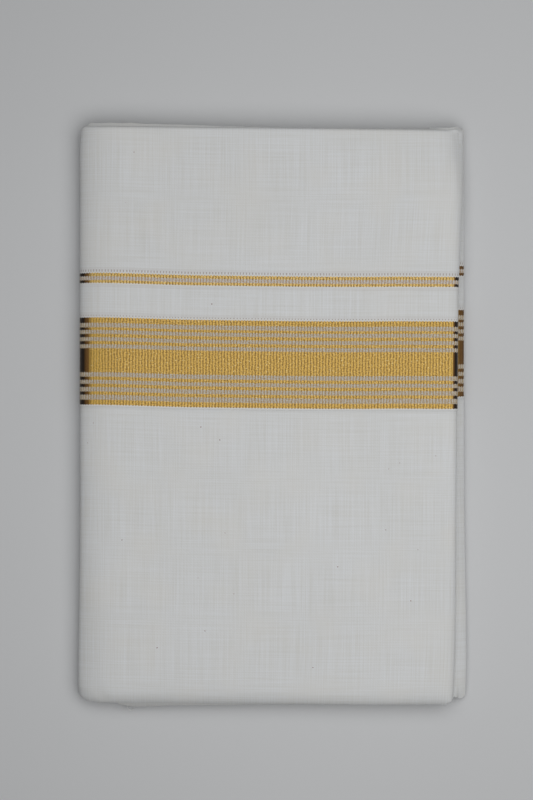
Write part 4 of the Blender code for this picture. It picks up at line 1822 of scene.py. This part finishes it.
        # Painted highlights: scattered sparks where turns of the flat thread catch the light.
        chance = coat.add("ShaderNodeTexNoise", coat.cloth, 1 / self.spark_size, 0.0)
        sparks = coat.add("ShaderNodeMapRange", chance, *self.spark_span, 0.0, self.spark_share)
        lit = coat.add("ShaderNodeMix", sparks, ribbed, self.spark, data_type="RGBA")
        # The narrow band's gilt goes further towards that painted highlight where it glints.
        glow = coat.add("ShaderNodeMath", narrow, self.fine_glow, operation="MULTIPLY")
        paler = coat.add("ShaderNodeMath", glow, glint, operation="MULTIPLY")
        shown = coat.add("ShaderNodeMix", paler, lit, self.spark, data_type="RGBA")
        # Painted shade: the gilt goes brown, then near black, as a fold tips it away from the light.
        shaded_gilt = coat.add("ShaderNodeMix", self.tilted(coat, self.painted_shade_tilt), shown, self.painted_fold_shade, data_type="RGBA")
        stand, rest = self.tilted(coat, self.stand), self.tilted(coat, self.rest)
        dark = coat.add("ShaderNodeMath", stand, rest, operation="MULTIPLY")
        return coat.add("ShaderNodeMix", dark, shaded_gilt, self.turned, data_type="RGBA")

    def ticks(self, coat: ClothCoat, rib: bpy.types.Node) -> bpy.types.Node:
        """The ground, darker beside the bands, with a row of small dark ticks above each.

        Args:
            coat: The material.
            rib: 0 in a groove and 1 on a rib.

        Returns:
            The colour.
        """
        row = self.stripes(coat, coat.above, TICKS)
        beside = self.stripes(coat, coat.above, DARKER_BESIDE)
        dip = coat.add("ShaderNodeMapRange", rib, *self.tick_span, 0.0, self.tick_share)
        ticks = coat.add("ShaderNodeMath", row, dip, operation="MULTIPLY")
        amount = coat.add("ShaderNodeMath", beside, self.beside_darkening, ticks, operation="MULTIPLY_ADD")
        return coat.add("ShaderNodeMix", amount, self.colour(coat), self.tick, data_type="RGBA")

    def ribs(self, coat: ClothCoat) -> bpy.types.Node:
        """0 in a groove and 1 on a rib, along the cloth, with the ribs' small wobble.

        Args:
            coat: The material.

        Returns:
            The value.
        """
        chance = coat.add("ShaderNodeTexNoise", coat.cloth, 1 / self.wobble_size, 1.0)
        shifted = coat.add("ShaderNodeMath", chance, self.wobble, coat.along, operation="MULTIPLY_ADD")
        phase = coat.add("ShaderNodeMath", shifted, math.tau / self.rib, operation="MULTIPLY")
        wave = coat.add("ShaderNodeMath", phase, operation="SINE")
        return coat.add("ShaderNodeMath", wave, 0.5, 0.5, operation="MULTIPLY_ADD")

    def shine(self, coat: ClothCoat, rib: bpy.types.Node) -> bpy.types.Node:
        """How bright the threads are: by their ribs, and by chance from thread to thread.

        Args:
            coat: The material.
            rib: 0 in a groove and 1 on a rib.

        Returns:
            The value, from 0 to 1.
        """
        detail = self.speckle_detail, self.speckle_roughness
        speckle = coat.add("ShaderNodeTexNoise", coat.cloth, 1 / self.speckle, *detail)
        chance = coat.add("ShaderNodeMapRange", speckle, *self.speckle_span, *self.speckle_share)
        sums = {"operation": "MULTIPLY_ADD", "use_clamp": True}
        return coat.add("ShaderNodeMath", rib, self.rib_share, chance, **sums)

    def stripes(
        self, coat: ClothCoat, height: bpy.types.Node | bpy.types.NodeSocket, stripes: Sequence[Stripe]
    ) -> bpy.types.Node:
        """Tells stripes from what lies between them.

        Args:
            coat: The material.
            height: The height above the selvedge, from a node or its socket.
            stripes: The stripes, in order.

        Returns:
            1 inside any of them and 0 elsewhere.
        """
        share = coat.add("ShaderNodeMath", height, 1 / self.border_height, operation="MULTIPLY")
        ramp = coat.add("ShaderNodeValToRGB", share)
        ramp.color_ramp.interpolation = "CONSTANT"
        first, *others = [end * MM / self.border_height for stripe in stripes for end in stripe]
        points = ramp.color_ramp.elements
        points[0].color = BLACK
        points[1].position = first
        points[1].color = WHITE
        for i, end in enumerate(others):
            points.new(end).color = WHITE if i % 2 else BLACK
        return ramp

    def tilted(self, coat: ClothCoat, tilt: Tilt) -> bpy.types.Node:
        """A mask of how far the cloth has tipped over a fold."""
        return coat.add("ShaderNodeMapRange", coat.tilt, *tilt, interpolation_type="SMOOTHSTEP")


@dataclass(frozen=True)
class Plain:
    """A plain dielectric finish of one colour with a faint mottle.

    Attributes:
        name: The material's name.
        light: Its colour.
        dark: The colour that it is mottled with.
        grain: The size of the mottle.
    """

    name: str
    light: str
    dark: str
    grain: float
    detail: float = 2.0
    roughness: float = 0.9

    def material(self) -> bpy.types.Material:
        """Makes the material."""
        coat = Coat(self.name)
        place = coat.add("ShaderNodeTexCoord").outputs["Object"]
        mottle = coat.add("ShaderNodeTexNoise", place, 1 / self.grain, self.detail)
        colour = coat.add("ShaderNodeMix", mottle, self.dark, self.light, data_type="RGBA")
        coat.feed(coat.shader, "Base Color", colour)
        coat.feed(coat.shader, "Roughness", self.roughness)
        return coat.material


# ---------------------------------------------------------------- studio


@dataclass(frozen=True)
class Studio:
    """A pale floor, one large soft light overhead, dim surroundings and the camera.

    Attributes:
        centre: The point of the packet's top face that the camera looks straight down on.
        distance: How far above that face the camera is.
        view_height: The height of the frame at that face.
        floor_gap: How far the floor lies under the packet.
        light_place: Where it hangs, facing the packet.
        surroundings: How bright the room is, which lights the shadows.
    """

    centre: Span = (-2.6 * MM, 6.54 * MM)
    distance: float = 0.9
    view_height: float = 341.2 * MM
    sensor: float = 36.0
    floor_size: float = 6.0
    floor_gap: float = 0.2 * MM
    paper_grain: float = 0.2
    light_size: float = 0.76
    light_place: tuple[float, float, float] = (0.07, 0.0, 0.46)
    light_power: float = 2.33
    surroundings: float = 0.06
    room_colour: str = "#E2E5E9"

    def build(self, top: float) -> None:
        """Makes the floor, light, surroundings and camera.

        Args:
            top: The packet's height.
        """
        bpy.context.scene.view_settings.view_transform = "Standard"
        self.lay_floor()
        self.hang_light()
        self.fill_room()
        self.set_camera(top)

    def lay_floor(self) -> None:
        """Makes the floor, which belongs to the stage."""
        bm = bmesh.new()
        bmesh.ops.create_grid(bm, x_segments=1, y_segments=1, size=self.floor_size / 2)
        bmesh.ops.translate(bm, verts=bm.verts, vec=(0, 0, -self.floor_gap))
        floor = finish_mesh("studio_floor", bm)
        floor.data.materials.append(Plain("studio_paper", "#D4D5D6", "#D0D1D2", self.paper_grain).material())

    def hang_light(self) -> None:
        """Makes the soft light, out of the camera's sight."""
        light = bpy.data.lights.new("overhead_softbox", "AREA")
        light.shape = "DISK"
        light.size = self.light_size
        light.energy = self.light_power
        lamp = bpy.data.objects.new("overhead_softbox", light)
        lamp.location = self.light_place
        lamp.visible_camera = False
        lamp.rotation_euler = Vector(self.light_place).to_track_quat("Z", "Y").to_euler()
        bpy.context.scene.collection.objects.link(lamp)

    def fill_room(self) -> None:
        """Gives the room its dim light."""
        world = bpy.data.worlds.new("dim_studio")
        world.use_nodes = True
        background = world.node_tree.nodes["Background"]
        background.inputs["Color"].default_value = linear(self.room_colour)
        background.inputs["Strength"].default_value = self.surroundings
        bpy.context.scene.world = world

    def set_camera(self, top: float) -> None:
        """Sets the camera over the packet.

        Args:
            top: The packet's height.
        """
        data = bpy.data.cameras.new("camera")
        data.sensor_width = self.sensor
        data.lens = self.sensor * self.distance / self.view_height
        camera = bpy.data.objects.new("camera", data)
        camera.location = (*self.centre, top + self.distance)
        bpy.context.scene.collection.objects.link(camera)
        bpy.context.scene.camera = camera


# ---------------------------------------------------------------- the whole


class Piece(NamedTuple):
    """A finished piece: its object, material, record slot and the CAD nodes that it replaces."""

    obj: bpy.types.Object
    material: bpy.types.Material
    slot: str
    nodes: tuple[str, ...] = ()


def place_piece(piece: Piece) -> None:
    """Gives a piece its material and ties it to the frame.

    Args:
        piece: The piece.
    """
    piece.obj.data.materials.append(piece.material)
    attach(piece.obj, BODY)
    if piece.nodes:
        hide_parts(*piece.nodes)
    LOG.info("%s: %d faces", piece.obj.name, len(piece.obj.data.polygons))


def cut_size(stations: Sequence[Station], height: float) -> Span:
    """The flat size of a stretch of cloth: its height, and its length along the fold path."""
    return height, stations[-1].run


def main() -> None:
    """Builds the packet's pieces in order and sets them in the studio."""
    logging.basicConfig(level=logging.INFO, format="%(name)s %(message)s")
    fold = PacketFold(thickness=CAD_BOX[1].z)
    ply = OuterPly(fold)
    strip = FoldedStrip(fold)

    bordered = ZariCotton("handloom_cotton_zari_border").material()
    plain = Cotton("handloom_cotton").material()
    layered = ZariCotton("handloom_cotton_folded", ground="#E2E3E3").material()
    husk = Plain("cotton_husk", "#A0604E", "#80483A", 0.3 * MM).material()
    fibre = Plain("cotton_fibre", "#E9EAEA", "#D5D5D2", 3 * MM).material()

    sheets = ply.build()
    folded = strip.build()
    threads = StrayThreads(fold).build()
    flecks = SeedFlecks([sheets["border_flap"], sheets["outer_panel"]]).build()
    place_piece(Piece(sheets["border_flap"], bordered, "bordered_cotton", ("border_flap",)))
    place_piece(Piece(sheets["outer_panel"], plain, "plain_cotton", ("outer_panel",)))
    place_piece(Piece(sheets["lower_end_flap"], bordered, "bordered_cotton", ("lower_end_flap",)))
    place_piece(Piece(sheets["lower_end_panel"], plain, "plain_cotton", ("lower_end_panel",)))
    place_piece(Piece(folded, layered, "layered_cotton", ("folded_layers",)))
    place_piece(Piece(threads, fibre, "plain_cotton"))
    place_piece(Piece(flecks, husk, "plain_cotton"))

    around, end = ply.around_packet(), ply.round_lower_end()
    flap_height, panel_height = 119.6 * MM, 135.0 * MM
    cut_size(around, flap_height)
    cut_size(around, panel_height)
    cut_size(end, flap_height)
    cut_size(end, panel_height)
    cut_size(strip.path(), 245 * MM)

    Studio().build(fold.thickness)


if __name__ == "__main__":
    main()
